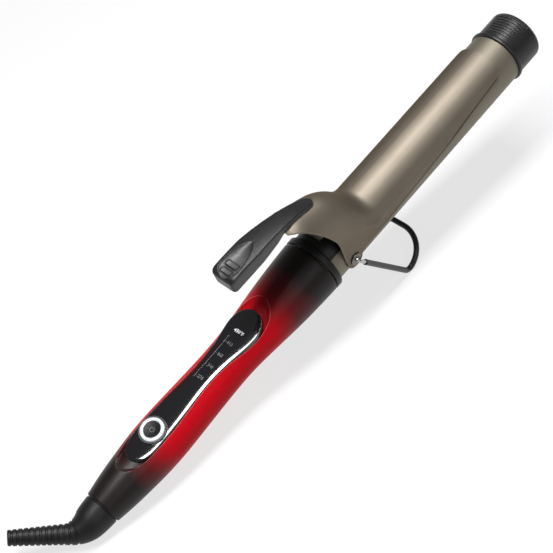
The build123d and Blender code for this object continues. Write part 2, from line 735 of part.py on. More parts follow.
# ---- rest stand ---------------------------------------------------------------------------------------
def stand_corners():
    """Corners of the stand's wire from one hinge end to the other."""
    lean = radians(STAND_LEAN)
    foot_x = HINGE_STATION + STAND_LEG * sin(lean)
    foot_z = -STAND_LEG * cos(lean)
    bow_x = foot_x + STAND_REACH * cos(lean)
    bow_z = foot_z + STAND_REACH * sin(lean)
    half = [
        (HINGE_STATION, 13.4, 0),
        (HINGE_STATION, STAND_HALF_WIDTH + 0.5, 0),
        (foot_x, STAND_HALF_WIDTH, foot_z),
        (bow_x, STAND_HALF_WIDTH - 0.4, bow_z),
    ]
    return [(x, -y, z) for x, y, z in half] + list(reversed(half))


def stand_tube(corners, radii, outer, inner):
    """Round bar or tube along straight runs joined by tangent arcs."""
    with BuildPart() as tube:
        with BuildLine() as route:
            FilletPolyline(*corners, radius=radii)
        with BuildSketch(route.line ^ 0):
            Circle(outer)
            if inner:
                Circle(inner, mode=Mode.SUBTRACT)
        sweep()
    return tube


def make_stand():
    """Wire loop that hooks into the eyelets, and the heat-proof sleeve on it."""
    corners = stand_corners()
    half_loop = [STAND_BEND_RADIUS, STAND_BOW_RADIUS]
    loop = half_loop + half_loop[::-1]
    wire = stand_tube(corners, [STAND_HOOK_RADIUS] + loop + [STAND_HOOK_RADIUS], WIRE_RADIUS, 0)
    keep(wire, "stand_wire")
    first, second = Vector(*corners[1]), Vector(*corners[2])
    start = first + (second - first).normalized() * 7
    sleeve_corners = [(start.X, start.Y, start.Z)] + corners[2:6] + [(start.X, -start.Y, start.Z)]
    keep(stand_tube(sleeve_corners, loop, SLEEVE_RADIUS, WIRE_RADIUS + 0.02), "stand_sleeve")


# ---- swivel -------------------------------------------------------------------------------------------
def make_swivel_bush():
    """Flanged bush in the handle's tail wall."""
    keep(turned(((0, SPINDLE_RADIUS + 0.06), (0, BUSH_RADIUS - 0.02), (6.05, BUSH_RADIUS - 0.02), (6.05, 8.4),
                 (7.2, 8.4), (7.2, SPINDLE_RADIUS + 0.06))), "swivel_bush", HANDLE_FRAME)


def make_swivel_spindle():
    """Hollow spindle of the swivel: pressed into the boot, held by its flange behind the bush."""
    keep(turned(((-8.5, 1.8), (-8.5, SPINDLE_RADIUS), (7.4, SPINDLE_RADIUS), (7.4, 7.4), (9, 7.4), (9, 3.6),
                 (15.4, 3.6), (15.4, 1.8))), "swivel_spindle", SWIVEL_FRAME)


def make_slip_rings():
    """Two brass rings on the spindle."""
    with BuildPart() as slip_rings:
        for start in (9.6, 12.6):
            with BuildSketch(Plane.YZ.offset(start)):
                Circle(5.2)
                Circle(3.6, mode=Mode.SUBTRACT)
            extrude(amount=2)
    keep(slip_rings, "slip_rings", SWIVEL_FRAME)


def make_contact_fingers():
    """Two strips from the board that bear on the slip rings."""
    with BuildPart() as contact_fingers:
        for side, start in ((1, 9.8), (-1, 12.8)):
            with Locations(((start + 26) / 2, side * 5.55, -0.2)):
                Box(26 - start, 0.4, 2)
            with Locations((25, side * 5.55, (BOARD_BOTTOM + 0.6) / 2)):
                Box(2, 0.4, BOARD_BOTTOM - 0.6)
    keep(contact_fingers, "contact_fingers", HANDLE_FRAME)


def boot_plane(distance):
    """Plane square to the boot's centre line at a distance along it from its mouth at the handle."""
    turn = min(max(distance - BOOT_STRAIGHT, 0) / BOOT_BEND_RADIUS, radians(BOOT_BEND))
    run = min(distance, BOOT_STRAIGHT)
    past = max(distance - BOOT_STRAIGHT - BOOT_BEND_RADIUS * radians(BOOT_BEND), 0)
    back = BOOT_GAP + run + BOOT_BEND_RADIUS * sin(turn) + past * cos(turn)
    rise = BOOT_BEND_RADIUS * (1 - cos(turn)) + past * sin(turn)
    return Plane(origin=(-back, 0, rise), x_dir=(0, 1, 0), z_dir=(-cos(turn), 0, sin(turn)))


def make_cord_boot():
    """Rubber boot: a smooth bent cone and a ribbed tail with the cord's hole in its end."""
    bend_end = BOOT_STRAIGHT + BOOT_BEND_RADIUS * radians(BOOT_BEND)
    tail = boot_plane(bend_end)
    pitch = BOOT_TAIL / RIB_COUNT
    with BuildPart() as cord_boot:
        for distance, radius in BOOT_SECTIONS:
            with BuildSketch(boot_plane(distance)):
                Circle(radius)
        loft()
        with BuildSketch(boot_plane(bend_end - 0.1)):
            Circle(4.3)
        with BuildSketch(boot_plane(bend_end + BOOT_TAIL - 0.8)):
            Circle(3.35)
        loft()
        for index in range(RIB_COUNT):
            start = bend_end + pitch * index
            with BuildSketch(boot_plane(start + pitch * 0.35)):
                Circle(5.0 - 0.085 * index)
            extrude(amount=pitch * 0.62)
        with BuildSketch(boot_plane(bend_end + BOOT_TAIL)):
            Circle(CORD_RADIUS)
        extrude(amount=-CORD_GRIP, mode=Mode.SUBTRACT)
        with Locations(Location((-BOOT_GAP - 4, 0, 0), (0, 90, 0))):
            Cylinder(SPINDLE_RADIUS, 8, mode=Mode.SUBTRACT)
    keep(cord_boot, "cord_boot", SWIVEL_FRAME)


# ---- build --------------------------------------------------------------------------------------------
make_handle_sleeve()
make_control_panel()
make_button_bezel()
make_button_ring()
make_button_cap()
make_chassis_cradle()
make_circuit_board()
make_board_components()
make_tact_switch()
make_level_lights()
make_light_guides()
make_board_screws()
make_barrel_tube()
make_collar_ring()
make_barrel_insulator()
make_neck_screws()
make_heater_block("heater_block_upper", 1)
make_heater_block("heater_block_lower", -1)
make_ceramic_heater()
make_insulating_sheets()
make_thermistor()
make_thermal_fuse()
make_heater_leads()
make_cool_tip()
make_tip_insulator()
make_tip_screw()
make_hinge_eyelets()
make_clip_plate()
make_lever_cover()
make_lever_rivets()
make_clip_spring()
make_stand()
make_swivel_bush()
make_swivel_spindle()
make_slip_rings()
make_contact_fingers()
make_cord_boot()

# ---- stand the iron on its rest and its tail, with the origin under the middle of its box --------------
tilt = Location((0, 0, 0), (0, -REST_TILT, 0))
box = Compound(children=[part.moved(tilt) for part in pieces.values()]).bounding_box()
REST_FRAME = Location((-box.center().X, -box.center().Y, -box.min.Z)) * tilt

os.makedirs("parts", exist_ok=True)
for name, part in pieces.items():
    placed = part.moved(REST_FRAME)
    placed.label = name
    export_step(placed, f"parts/{name}.step")
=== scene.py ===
import json
from math import atan2, cos, pi, radians, sin, sqrt

import bmesh
import bpy
import numpy as np
from mathutils import Matrix, Vector


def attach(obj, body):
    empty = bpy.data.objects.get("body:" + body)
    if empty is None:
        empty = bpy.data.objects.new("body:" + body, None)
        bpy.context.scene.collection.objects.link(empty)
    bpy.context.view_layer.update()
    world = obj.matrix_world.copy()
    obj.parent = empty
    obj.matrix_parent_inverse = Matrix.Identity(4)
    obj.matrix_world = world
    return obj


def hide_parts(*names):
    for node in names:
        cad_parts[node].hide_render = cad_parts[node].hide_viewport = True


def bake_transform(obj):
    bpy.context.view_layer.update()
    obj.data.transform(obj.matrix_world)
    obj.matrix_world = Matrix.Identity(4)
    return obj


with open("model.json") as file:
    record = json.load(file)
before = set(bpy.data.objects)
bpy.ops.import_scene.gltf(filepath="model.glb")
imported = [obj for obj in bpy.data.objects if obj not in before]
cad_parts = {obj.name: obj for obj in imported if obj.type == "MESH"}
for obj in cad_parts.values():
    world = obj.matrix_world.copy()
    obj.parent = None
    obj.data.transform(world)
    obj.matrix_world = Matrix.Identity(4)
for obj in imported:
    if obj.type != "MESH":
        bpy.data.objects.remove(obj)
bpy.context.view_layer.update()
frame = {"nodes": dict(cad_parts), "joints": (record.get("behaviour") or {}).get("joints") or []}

# ---- driving dimensions, in millimetres and degrees, along and around the iron's own axes --------------
HINGE_STATION = 184.0
HANDLE_LEAN = 1.1

# handle: its outline as (station, radius) and the edge of its recess as (station, half-width)
HANDLE_LENGTH = 167.2
HANDLE_PROFILE = (
    (0, 10.3), (4, 10.95), (13, 12.2), (23, 13.2), (33, 14.0), (46, 14.4), (64, 13.9), (80, 13.3),
    (95, 12.95), (106, 13.2), (117, 14.1), (138, 16.2), (152, 17.2), (167.2, 17.9),
)
HANDLE_WALL = 2.2
TAIL_ROUND = 0.5
BUSH_RADIUS, BUSH_DEPTH = 7.0, 6.0
RECESS_EDGE = (
    (18.2, 0), (20.4, 4.3), (26, 7.2), (35, 8.6), (45, 8.95), (60, 8.2), (84, 6.7), (99, 8.0),
    (111, 10.0), (121, 10.2), (130, 7.3), (134.2, 0),
)
GROOVE_DEPTH = 3.1
GROOVE_WALL, END_WALL = 0.55, 3.2
SCOOP_LENGTH = {"tail": 17.0, "top": 21.0}
LIP_OUTSIDE, LIP_INSIDE = 0.45, 0.3

# control panel, its edge as (station, half-width), and the scale printed on it
PANEL_EDGE = (
    (25.8, 0), (27.4, 4.6), (33, 7.7), (44.8, 8.6), (60, 7.85), (84, 6.35), (99, 7.7),
    (111, 9.75), (118.5, 9.6), (124.2, 6.3), (126.4, 0),
)
PANEL_CROWN = 0.8
PANEL_FLAT = 0.2
PANEL_INSET = 1.8
PANEL_ROLL = 0.7
PANEL_THICKNESS = 3.0
LEVEL_STATIONS = (81.2, 89.0, 96.8, 104.5, 112.2)
LEVEL_TEXTS = ("270", "310", "360", "410", "450°F")
SCALE_OFFSET = 3.6
PRINT_WIDTH = 0.28

# power button
BUTTON_STATION = 44.8
BUTTON_TOP = 14.3
BUTTON_DEPTH = 5.2
BEZEL_RADIUS = 7.75
BEZEL_DROP = 0.9
RING_RADIUS = 6.55
CAP_RADIUS = 4.75
CAP_DROP, CAP_DISH = 0.45, 0.5
SYMBOL_RADIUS = 1.35

# swivel boot, its cone as (distance along the centre line, radius)
BOOT_GAP = 0.6
BOOT_PROFILE = ((0, 9.8), (4.5, 9.55), (9, 9.0), (15, 7.4), (19, 6.2), (22.7, 5.35))
BOOT_STRAIGHT = 9.0
BOOT_BEND_RADIUS = 17.0
BOOT_BEND = 46.0
BOOT_TAIL = 29.0
BOOT_TAPER = 0.045
BOOT_TURN = 32.0
BOOT_END_ROUND = 0.7
BOOT_COLUMNS = 96
SPINDLE_RADIUS, SPINDLE_DEPTH = 4.9, 3.0
RIB_COUNT = 12
RIBS_BEFORE_BEND_END = 5.3
RIB_GROOVE = 0.5
CORD_RADIUS, CORD_DEPTH = 2.7, 12.0

# barrel, collar and cool tip
BARREL_RADIUS, BARREL_WALL = 16.0, 1.2
BARREL_START, BARREL_END = 169.2, 331.2
COLLAR_RADIUS = 18.0
COLLAR_START, COLLAR_END = 167.6, 171.6
SADDLE_START, SADDLE_END = 171.2, 188.0
SADDLE_ANGLE = 52
SADDLE_RADIUS, SADDLE_FOOT = 16.5, 15.9
TIP_RADIUS = 16.05
TIP_ROUND = 2.9
TIP_START, TIP_END = 331.35, 352.2
TIP_COLUMNS = 360
TIP_FIELD = (336.0, 349.6)
TIP_FIELD_DEPTH = 0.7
TIP_RIB_PITCH, TIP_RIB_HEIGHT = 1.9, 0.6

# clip: the climb of its long edges, and its hood as (station, crown, base, half-width)
CLIP_EDGE_START, CLIP_END = 205.0, 319.2
CLIP_EDGE_RISE = 8.4
HOOD_STATIONS = (
    (158, 50.9, 20, 25), (165, 49.5, 18, 21), (172, 47.3, 16, 18.6), (179.2, 44.4, 14, 17.6),
    (187, 40.4, 11, 17.35),
)
SPRING_ROUTE = (
    (198.6, 23.9), (194.6, 29.0), (190.4, 31.4), (185.2, 28.3), (180.6, 20.6), (178.2, 17.2),
    (175.6, 17.4),
)
SPRING_HALF_WIDTH, SPRING_HALF_THICKNESS = 4, 0.3

# lever, its crest as (station, height)
LEVER_START, LEVER_END = 117.6, 183.0
LEVER_HALF_WIDTH = 7.5
LEVER_NOSE, LEVER_FRONT = 2.6, 4.5
LEVER_NOSE_ROUND = 0.8
LEVER_BOTTOM = 48.8
LEVER_CREST = (
    (117.6, 56.4), (119.6, 58.0), (123, 58.7), (135, 58.5), (150, 56.6), (162, 53.7),
    (172, 50.1), (183, 44.5),
)
SCOOP_TIP = 142.8
SCOOP_HALF_WIDTH, SCOOP_DEPTH = 6.6, 2.3
RIDGE_STATIONS = (122.2, 126.6)
RIDGE_HEIGHT, RIDGE_GROOVE = 0.8, 0.5

# ---- frames: the barrel's axes and the handle's axes in the row's metres -------------------------------
MM = 0.001
joints = {joint["name"]: joint for joint in frame["joints"]}
hinge = Vector(joints["clip_hinge"]["pos_m"])
swivel = Vector(joints["cord_swivel"]["pos_m"])
handle_axis = Vector(joints["cord_swivel"]["axis"])
handle_tilt = atan2(handle_axis.z, handle_axis.x)
barrel_tilt = handle_tilt - radians(HANDLE_LEAN)
scale_to_metres = Matrix.Diagonal((MM, MM, MM, 1))
TOOL = (
    Matrix.Translation(hinge) @ Matrix.Rotation(-barrel_tilt, 4, "Y") @ scale_to_metres
    @ Matrix.Translation((-HINGE_STATION, 0, 0))
)
HANDLE = Matrix.Translation(swivel) @ Matrix.Rotation(-handle_tilt, 4, "Y") @ scale_to_metres
SWIVEL = HANDLE @ Matrix.Rotation(radians(BOOT_TURN - 90), 4, "X")


# ---- node materials -----------------------------------------------------------------------------------
class Finish:
    """A node material under construction: a Principled shader and helpers that wire nodes into it."""

    def __init__(self, name, **values):
        self.material = bpy.data.materials.new(name)
        self.material.use_nodes = True
        self.tree = self.material.node_tree
        self.shader = self.tree.nodes["Principled BSDF"]
        self.coordinates = self.tree.nodes.new("ShaderNodeTexCoord").outputs["Object"]
        for socket, value in values.items():
            self.shader.inputs[socket.replace("_", " ")].default_value = value

    def node(self, kind, inputs=None, **settings):
        made = self.tree.nodes.new(kind)
        for key, value in settings.items():
            setattr(made, key, value)
        for key, value in (inputs or {}).items():
            if isinstance(value, bpy.types.NodeSocket):
                self.tree.links.new(value, made.inputs[key])
            else:
                made.inputs[key].default_value = value
        return made

    def local(self, place):
        """Coordinates in millimetres in one of the iron's own frames."""
        inputs = {"Vector": self.coordinates, "Location": place.to_translation(),
                  "Rotation": place.to_euler(), "Scale": (MM, MM, MM)}
        return self.node("ShaderNodeMapping", inputs, vector_type="TEXTURE").outputs["Vector"]

    def noise(self, size, detail=3.0, vector=None):
        """Noise whose grain is about size millimetres."""
        inputs = {"Vector": vector or self.local(TOOL), "Scale": 1 / size, "Detail": detail}
        return self.node("ShaderNodeTexNoise", inputs).outputs[0]

    def axis(self, vector, index):
        """One of the three coordinates of a vector."""
        return self.node("ShaderNodeSeparateXYZ", {"Vector": vector}).outputs[index]

    def weight(self, name):
        """A weight painted on the mesh's points."""
        return self.node("ShaderNodeAttribute", attribute_name=name).outputs["Fac"]

    def combine(self, operation, first, second):
        """Sum, difference or product of two values."""
        return self.node("ShaderNodeMath", {0: first, 1: second}, operation=operation).outputs[0]

    def ramp(self, factor, *stops):
        """Colour ramp from (place, colour) stops."""
        made = self.node("ShaderNodeValToRGB", {"Fac": factor})
        elements = made.color_ramp.elements
        while len(elements) < len(stops):
            elements.new(0.5)
        for element, (place, colour) in zip(elements, stops):
            element.position = place
            element.color = (*colour, 1)
        return made.outputs["Color"]

    def span(self, value, low, high, out_low=0.0, out_high=1.0):
        """Value mapped from one range to another, clamped and eased."""
        inputs = {"Value": value, "From Min": low, "From Max": high, "To Min": out_low, "To Max": out_high}
        return self.node("ShaderNodeMapRange", inputs, interpolation_type="SMOOTHSTEP").outputs[0]

    def mix(self, factor, first, second):
        """Mix of two colours, each a socket or three plain values."""
        first, second = ((*colour, 1) if isinstance(colour, tuple) else colour for colour in (first, second))
        inputs = {0: factor, 6: first, 7: second}
        return self.node("ShaderNodeMix", inputs, data_type="RGBA").outputs[2]

    def use(self, socket, output):
        self.tree.links.new(output, self.shader.inputs[socket])

    def bump(self, *layers, edge=0.0):
        """Bump layers of (height, depth in millimetres), over edges softened by a radius in millimetres."""
        normal = None
        if edge:
            normal = self.node("ShaderNodeBevel", {"Radius": edge * MM}, samples=6).outputs[0]
        for height, depth in layers:
            inputs = {"Height": height, "Strength": 1.0, "Distance": depth * MM}
            if normal:
                inputs["Normal"] = normal
            normal = self.node("ShaderNodeBump", inputs).outputs[0]
        self.use("Normal", normal)


def moulded(name, dark, light, rough, grain, depth, **values):
    """Moulded plastic or rubber: fine grain, slow mottling, roughness that varies, softened edges."""
    finish = Finish(name, **values)
    mottle = finish.noise(9.0, 4.0)
    speck = finish.noise(grain, 2.0)
    finish.use("Base Color", finish.mix(finish.span(mottle, 0.3, 0.7), dark, light))
    finish.use("Roughness", finish.span(speck, 0.3, 0.7, rough - 0.06, rough + 0.08))
    finish.bump((speck, depth), edge=0.15)
    return finish.material


def painted_edge_shadow(finish):
    """Weight of the narrow painted shadow line along the clip's two long cut edges."""
    place = finish.local(TOOL)
    station, height = finish.axis(place, 0), finish.axis(place, 2)
    climb = {"Value": station, "From Min": CLIP_EDGE_START, "From Max": CLIP_END, "To Max": CLIP_EDGE_RISE}
    edge = finish.node("ShaderNodeMapRange", climb).outputs[0]
    line = finish.span(finish.combine("SUBTRACT", height, edge), 0.4, 1.0, 0.75, 0.0)
    fade = finish.span(station, CLIP_EDGE_START - 1, CLIP_EDGE_START + 9)
    return finish.combine("MULTIPLY", line, fade)


def shaded(colour, share):
    """A colour taken down to a share of its brightness."""
    return tuple(share * c for c in colour)


def metal(name, colour, rough, grain, depth, shade=0.85, paint_edge_shadow=False, **values):
    """Satin metal: tint that drifts, fine grain, and a painted shadow line along the cut edges where asked.
    """
    finish = Finish(name, Metallic=1.0, **values)
    drift = finish.noise(22.0, 3.0)
    grit = finish.noise(grain, 2.0)
    tint = finish.mix(finish.span(drift, 0.3, 0.7), shaded(colour, shade), colour)
    if paint_edge_shadow:
        # painted shadow: a dark line along the clip's cut edges, where they step over the barrel
        tint = finish.mix(painted_edge_shadow(finish), tint, shaded(colour, 0.25))
    finish.use("Base Color", tint)
    finish.use("Roughness", finish.span(grit, 0.25, 0.75, rough - 0.04, rough + 0.05))
    finish.bump((grit, depth), edge=0.1)
    return finish.material


def soft_touch():
    """Sprayed soft-touch coat: black at the tail, red along the grip, black again at the top; painted lip
    highlight, painted recess shade.
    """
    finish = Finish("handle_softtouch")
    place = finish.local(HANDLE)
    station = finish.axis(place, 0)
    cloud = finish.noise(16.0, 3.0, place)
    shifted = finish.combine("ADD", station, finish.span(cloud, 0.25, 0.75, -1.5, 1.5))
    whole = {"Value": shifted, "From Min": 0.0, "From Max": 170.0}
    along = finish.node("ShaderNodeMapRange", whole).outputs[0]
    black, ember, red = (0.004, 0.003, 0.003), (0.07, 0.002, 0.003), (0.37, 0.001, 0.006)
    pale = (0.85, 0.28, 0.28)
    coat = finish.ramp(
        along, (0.0, black), (0.115, black), (0.175, ember), (0.27, red), (0.72, red), (0.82, ember),
        (0.90, black), (1.0, black),
    )
    gloss = ((0.0, 0.24), (0.16, 0.22), (0.27, 0.05), (0.72, 0.05), (0.86, 0.18), (1.0, 0.22))
    finish.use("Specular IOR Level", finish.ramp(along, *((spot, (level,) * 3) for spot, level in gloss)))
    speck = finish.noise(0.16, 2.0, place)
    paint = finish.mix(finish.span(speck, 0.55, 0.85, 0.0, 0.12), coat, (0.75, 0.28, 0.28))
    # painted highlight: a pale pink line along the recess lip, where the rounded lip catches the light
    painted_highlight = finish.combine("MULTIPLY", finish.weight("lip"), finish.span(shifted, 20.0, 48.0, 0.05, 0.3))
    # painted shade: the sunk recess is darkened towards black below the top
    sunk, below_top = finish.weight("sunk"), finish.span(station, 98.0, 112.0, 0.9, 0.0)
    shadow = finish.combine("MULTIPLY", finish.span(sunk, 0.15, 0.7), below_top)
    paint = finish.mix(shadow, paint, (0.006, 0.003, 0.003))
    finish.use("Base Color", finish.mix(painted_highlight, paint, pale))
    finish.use("Roughness", finish.span(speck, 0.3, 0.7, 0.36, 0.48))
    finish.bump((speck, 0.012), edge=0.1)
    return finish.material


def painted_light_black():
    """Fine-textured black moulding, painted lighter grey where the mesh's painted light weight says so."""
    finish = Finish("lever_black", Specular_IOR_Level=0.35)
    speck = finish.noise(0.35, 3.0)
    black = finish.mix(finish.span(speck, 0.35, 0.65), (0.003, 0.003, 0.003), (0.012, 0.012, 0.012))
    grey = finish.mix(finish.span(speck, 0.35, 0.65), (0.03, 0.03, 0.03), (0.075, 0.075, 0.075))
    # painted light: the grey stands in for the scoop's reflection, the light on the sides and the glints on
    # the tip's rib crests
    finish.use("Base Color", finish.mix(finish.weight("painted_light"), black, grey))
    finish.use("Roughness", finish.span(speck, 0.3, 0.7, 0.34, 0.46))
    finish.bump((speck, 0.035), edge=0.1)
    return finish.material


def gloss_panel():
    """Piano-black moulding with a hint of orange peel and fine dust."""
    finish = Finish("gloss_black", Coat_Weight=1.0, Coat_Roughness=0.03)
    dust = finish.noise(0.12, 2.0)
    peel = finish.noise(5.0, 1.0)
    dusty = finish.span(dust, 0.62, 0.8, 0.0, 0.08)
    finish.use("Base Color", finish.mix(dusty, (0.004, 0.004, 0.005), (0.30, 0.30, 0.30)))
    finish.use("Roughness", finish.span(dust, 0.4, 0.8, 0.07, 0.2))
    finish.bump((peel, 0.006), edge=0.12)
    return finish.material


def painted_glow_ring():
    """Bright satin ring of the power button, with a painted soft bluish glow."""
    # painted glow: the ring glows by its own emission, though it holds no lamp
    finish = Finish("bright_metal", Metallic=0.7, Emission_Strength=0.35)
    grit = finish.noise(0.1, 2.0)
    finish.use("Base Color", finish.mix(grit, (0.72, 0.74, 0.75), (0.86, 0.87, 0.88)))
    finish.shader.inputs["Emission Color"].default_value = (0.9, 0.95, 1.0, 1)
    finish.use("Roughness", finish.span(grit, 0.3, 0.7, 0.18, 0.3))
    finish.bump((grit, 0.003))
    return finish.material


def print_ink(name, colour, glow):
    """Pad-printed mark: slightly uneven ink, a little glow where a level light sits behind it, a faint
    painted glow otherwise.
    """
    finish = Finish(name, Emission_Strength=glow)
    grain = finish.noise(0.2, 2.0)
    finish.use("Base Color", finish.mix(grain, shaded(colour, 0.75), colour))
    finish.shader.inputs["Emission Color"].default_value = (*colour, 1)
    finish.use("Roughness", finish.span(grain, 0.3, 0.7, 0.4, 0.6))
    finish.bump((grain, 0.004))
    return finish.material


BRONZE = (0.205, 0.177, 0.142)
OLIVE_BRONZE = (0.218, 0.195, 0.154)
FINISHES = {
    "handle_softtouch": soft_touch(),
    "gloss_black": gloss_panel(),
    "black_plastic": moulded("black_plastic", (0.004, 0.004, 0.004), (0.008, 0.008, 0.008), 0.42, 0.3, 0.03,
                             Specular_IOR_Level=0.25),
    "bright_metal": painted_glow_ring(),
    "barrel_bronze": metal("barrel_bronze", OLIVE_BRONZE, 0.58, 0.10, 0.0015, shade=0.93),
    # the clip's metal carries the painted edge shadow line
    "clip_bronze": metal("clip_bronze", BRONZE, 0.56, 0.10, 0.0015, shade=0.93, paint_edge_shadow=True,
                         Specular_Tint=(0.25, 0.21, 0.16, 1)),
    "rubber_black": moulded("rubber_black", (0.004, 0.004, 0.004), (0.008, 0.008, 0.008), 0.46, 0.3, 0.02,
                            Specular_IOR_Level=0.25),
    "sleeve_black": moulded("sleeve_black", (0.007, 0.007, 0.008), (0.012, 0.012, 0.013), 0.34, 0.2, 0.01,
                            Specular_IOR_Level=0.35),
    "wire_steel": metal("wire_steel", (0.40, 0.40, 0.40), 0.2, 0.06, 0.001),
    "eyelet_steel": metal("eyelet_steel", (0.16, 0.14, 0.12), 0.3, 0.08, 0.001),
    "spring_steel": metal("spring_steel", (0.5, 0.5, 0.52), 0.25, 0.06, 0.001),
    "core_aluminium": metal("core_aluminium", (0.62, 0.63, 0.65), 0.4, 0.2, 0.004),
    "ceramic_white": moulded("ceramic_white", (0.75, 0.74, 0.70), (0.85, 0.84, 0.80), 0.55, 0.2, 0.01),
    "brass_bright": metal("brass_bright", (0.75, 0.55, 0.22), 0.25, 0.1, 0.001),
    "board_green": moulded("board_green", (0.01, 0.10, 0.035), (0.015, 0.16, 0.06), 0.35, 0.6, 0.02),
    "parts_mixed": moulded("parts_mixed", (0.03, 0.03, 0.035), (0.12, 0.10, 0.07), 0.5, 2.0, 0.02),
    "inner_plastic": moulded("inner_plastic", (0.10, 0.09, 0.08), (0.15, 0.14, 0.12), 0.55, 0.3, 0.02),
    "clear_plastic": moulded("clear_plastic", (0.80, 0.82, 0.84), (0.9, 0.92, 0.94), 0.15, 0.3, 0.004,
                             Transmission_Weight=0.85),
    "screw_steel": metal("screw_steel", (0.55, 0.54, 0.52), 0.3, 0.1, 0.002),
    "ink_bright": print_ink("ink_bright", (0.75, 0.77, 0.8), 0.25),
    # painted glow: the dim marks glow faintly with no level light behind them
    "ink_dim": print_ink("ink_dim", (0.13, 0.13, 0.14), 0.03),
    "bezel_grey": moulded("bezel_grey", (0.03, 0.03, 0.032), (0.05, 0.05, 0.052), 0.3, 0.3, 0.01),
    "lever_black": painted_light_black(),
}

NODE_FINISHES = {"hinge_eyelets": "eyelet_steel"}
node_slots = {}
for node_name, node in frame["nodes"].items():
    for held in node.material_slots:
        node_slots[node_name] = held.material.name.split(".")[0]
        held.material = FINISHES[NODE_FINISHES.get(node_name, node_slots[node_name])]


# ---- mesh helpers ----------------------------------------------------------------------------------------
def plain_mesh(name, points, faces, place):
    """A mesh from points in one of the iron's frames."""
    mesh = bpy.data.meshes.new(name)
    mesh.from_pydata([place @ Vector(point) for point in points], [], faces)
    return mesh


def put(name, points, faces, place, body, slot, finish=None, sharp=35, replaces=(), weights=None):
    """A finished mesh piece from points in one of the iron's frames, riding on a body.

    Weights are lists of one value a point, by name; points past the end of a list weigh nothing.
    """
    mesh = plain_mesh(name, points, faces, place)
    for kind, values in (weights or {}).items():
        padded = values + [0.0] * (len(points) - len(values))
        mesh.attributes.new(kind, "FLOAT", "POINT").data.foreach_set("value", padded)
    settle(name, mesh, body, slot, finish, sharp, replaces)


def link(name, data):
    """A new object in the scene."""
    made = bpy.data.objects.new(name, data)
    bpy.context.scene.collection.objects.link(made)
    return made


def settle(name, mesh, body, slot, finish=None, sharp=35, replaces=()):
    """Clean a mesh, shade it and make it a piece of the object."""
    work = bmesh.new()
    work.from_mesh(mesh)
    bmesh.ops.remove_doubles(work, verts=work.verts, dist=1e-7)
    bmesh.ops.recalc_face_normals(work, faces=work.faces)
    work.to_mesh(mesh)
    work.free()
    mesh.shade_smooth()
    mesh.set_sharp_from_angle(angle=radians(sharp))
    piece = link(name, mesh)
    mesh.materials.clear()
    mesh.materials.append(FINISHES[finish or slot])
    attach(piece, body)
    if replaces:
        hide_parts(*replaces)


def grid_faces(rows, columns, close_rows=False, close_columns=False):
    """Quads of a grid of points, row by row."""
    faces = []
    for i in range(rows if close_rows else rows - 1):
        for j in range(columns if close_columns else columns - 1):
            a, b = i * columns + j, i * columns + (j + 1) % columns
            below = ((i + 1) % rows) * columns
            faces.append((a, b, below + (j + 1) % columns, below + j))
    return faces


def rounded(corners, radius, steps=4):
    """A closed plane outline with each corner replaced by a short curve."""
    count = len(corners)
    out = []
    for i, corner in enumerate(corners):
        here = Vector(corner)
        before, after = Vector(corners[i - 1]) - here, Vector(corners[(i + 1) % count]) - here
        reach = min(radius, before.length * 0.45, after.length * 0.45)
        start, end = here + before.normalized() * reach, here + after.normalized() * reach
        for k in range(steps + 1):
            t = k / steps
            out.append(tuple((1 - t) ** 2 * start + 2 * t * (1 - t) * here + t * t * end))
    return out


def lathe(name, profile, place, body, slot, axis="X", centre=(0, 0, 0), columns=160, **settings):
    """A piece turned from a closed outline of (height along the axis, radius)."""
    points = []
    for height, radius in profile:
        for k in range(columns):
            turn = 2 * pi * k / columns
            around = (radius * cos(turn), radius * sin(turn))
            point = (height, *around) if axis == "X" else (*around, height)
            points.append([a + b for a, b in zip(point, centre)])
    faces = grid_faces(len(profile), columns, close_rows=True, close_columns=True)
    put(name, points, faces, place, body, slot, **settings)


def cubic(points):
    """Natural cubic curve through (x, y) points, as a function of x."""
    x, y = np.array(points, float).T
    h = np.diff(x)
    count = len(x)
    system, right = np.eye(count), np.zeros(count)
    for i in range(1, count - 1):
        system[i, i - 1:i + 2] = h[i - 1], 2 * (h[i - 1] + h[i]), h[i]
        right[i] = 6 * ((y[i + 1] - y[i]) / h[i] - (y[i] - y[i - 1]) / h[i - 1])
    bend = np.linalg.solve(system, right)

    def value(at):
        at = np.clip(at, x[0], x[-1])
        i = np.clip(np.searchsorted(x, at) - 1, 0, count - 2)
        a, b = (x[i + 1] - at) / h[i], (at - x[i]) / h[i]
        return (a * y[i] + b * y[i + 1]
                + ((a ** 3 - a) * bend[i] + (b ** 3 - b) * bend[i + 1]) * h[i] ** 2 / 6)

    return value


def oval_half_width(edge):
    """Half-width at a station of a smooth closed outline mirrored about the axis."""
    upper = list(edge)
    ring = np.array(upper + [(x, -y) for x, y in reversed(upper[1:-1])], float)
    count = len(ring)
    h = np.linalg.norm(np.roll(ring, -1, axis=0) - ring, axis=1)
    system, right = np.zeros((count, count)), np.zeros((count, 2))
    for i in range(count):
        before, after = h[i - 1], h[i]
        system[i, i - 1] += before
        system[i, i] += 2 * (before + after)
        system[i, (i + 1) % count] += after
        slope_after = (ring[(i + 1) % count] - ring[i]) / after
        slope_before = (ring[i] - ring[i - 1]) / before
        right[i] = 6 * (slope_after - slope_before)
    bend = np.linalg.solve(system, right)
    stations, widths = [], []
    for i in range(len(upper) - 1):
        for b in np.linspace(0, 1, 60, endpoint=False):
            a = 1 - b
            point = a * ring[i] + b * ring[i + 1]
            point = point + ((a ** 3 - a) * bend[i] + (b ** 3 - b) * bend[i + 1]) * h[i] ** 2 / 6
            stations.append(point[0])
            widths.append(max(point[1], 0))
    stations.append(upper[-1][0])
    widths.append(0)
    return lambda x: float(np.interp(x, stations, widths, left=0, right=0))


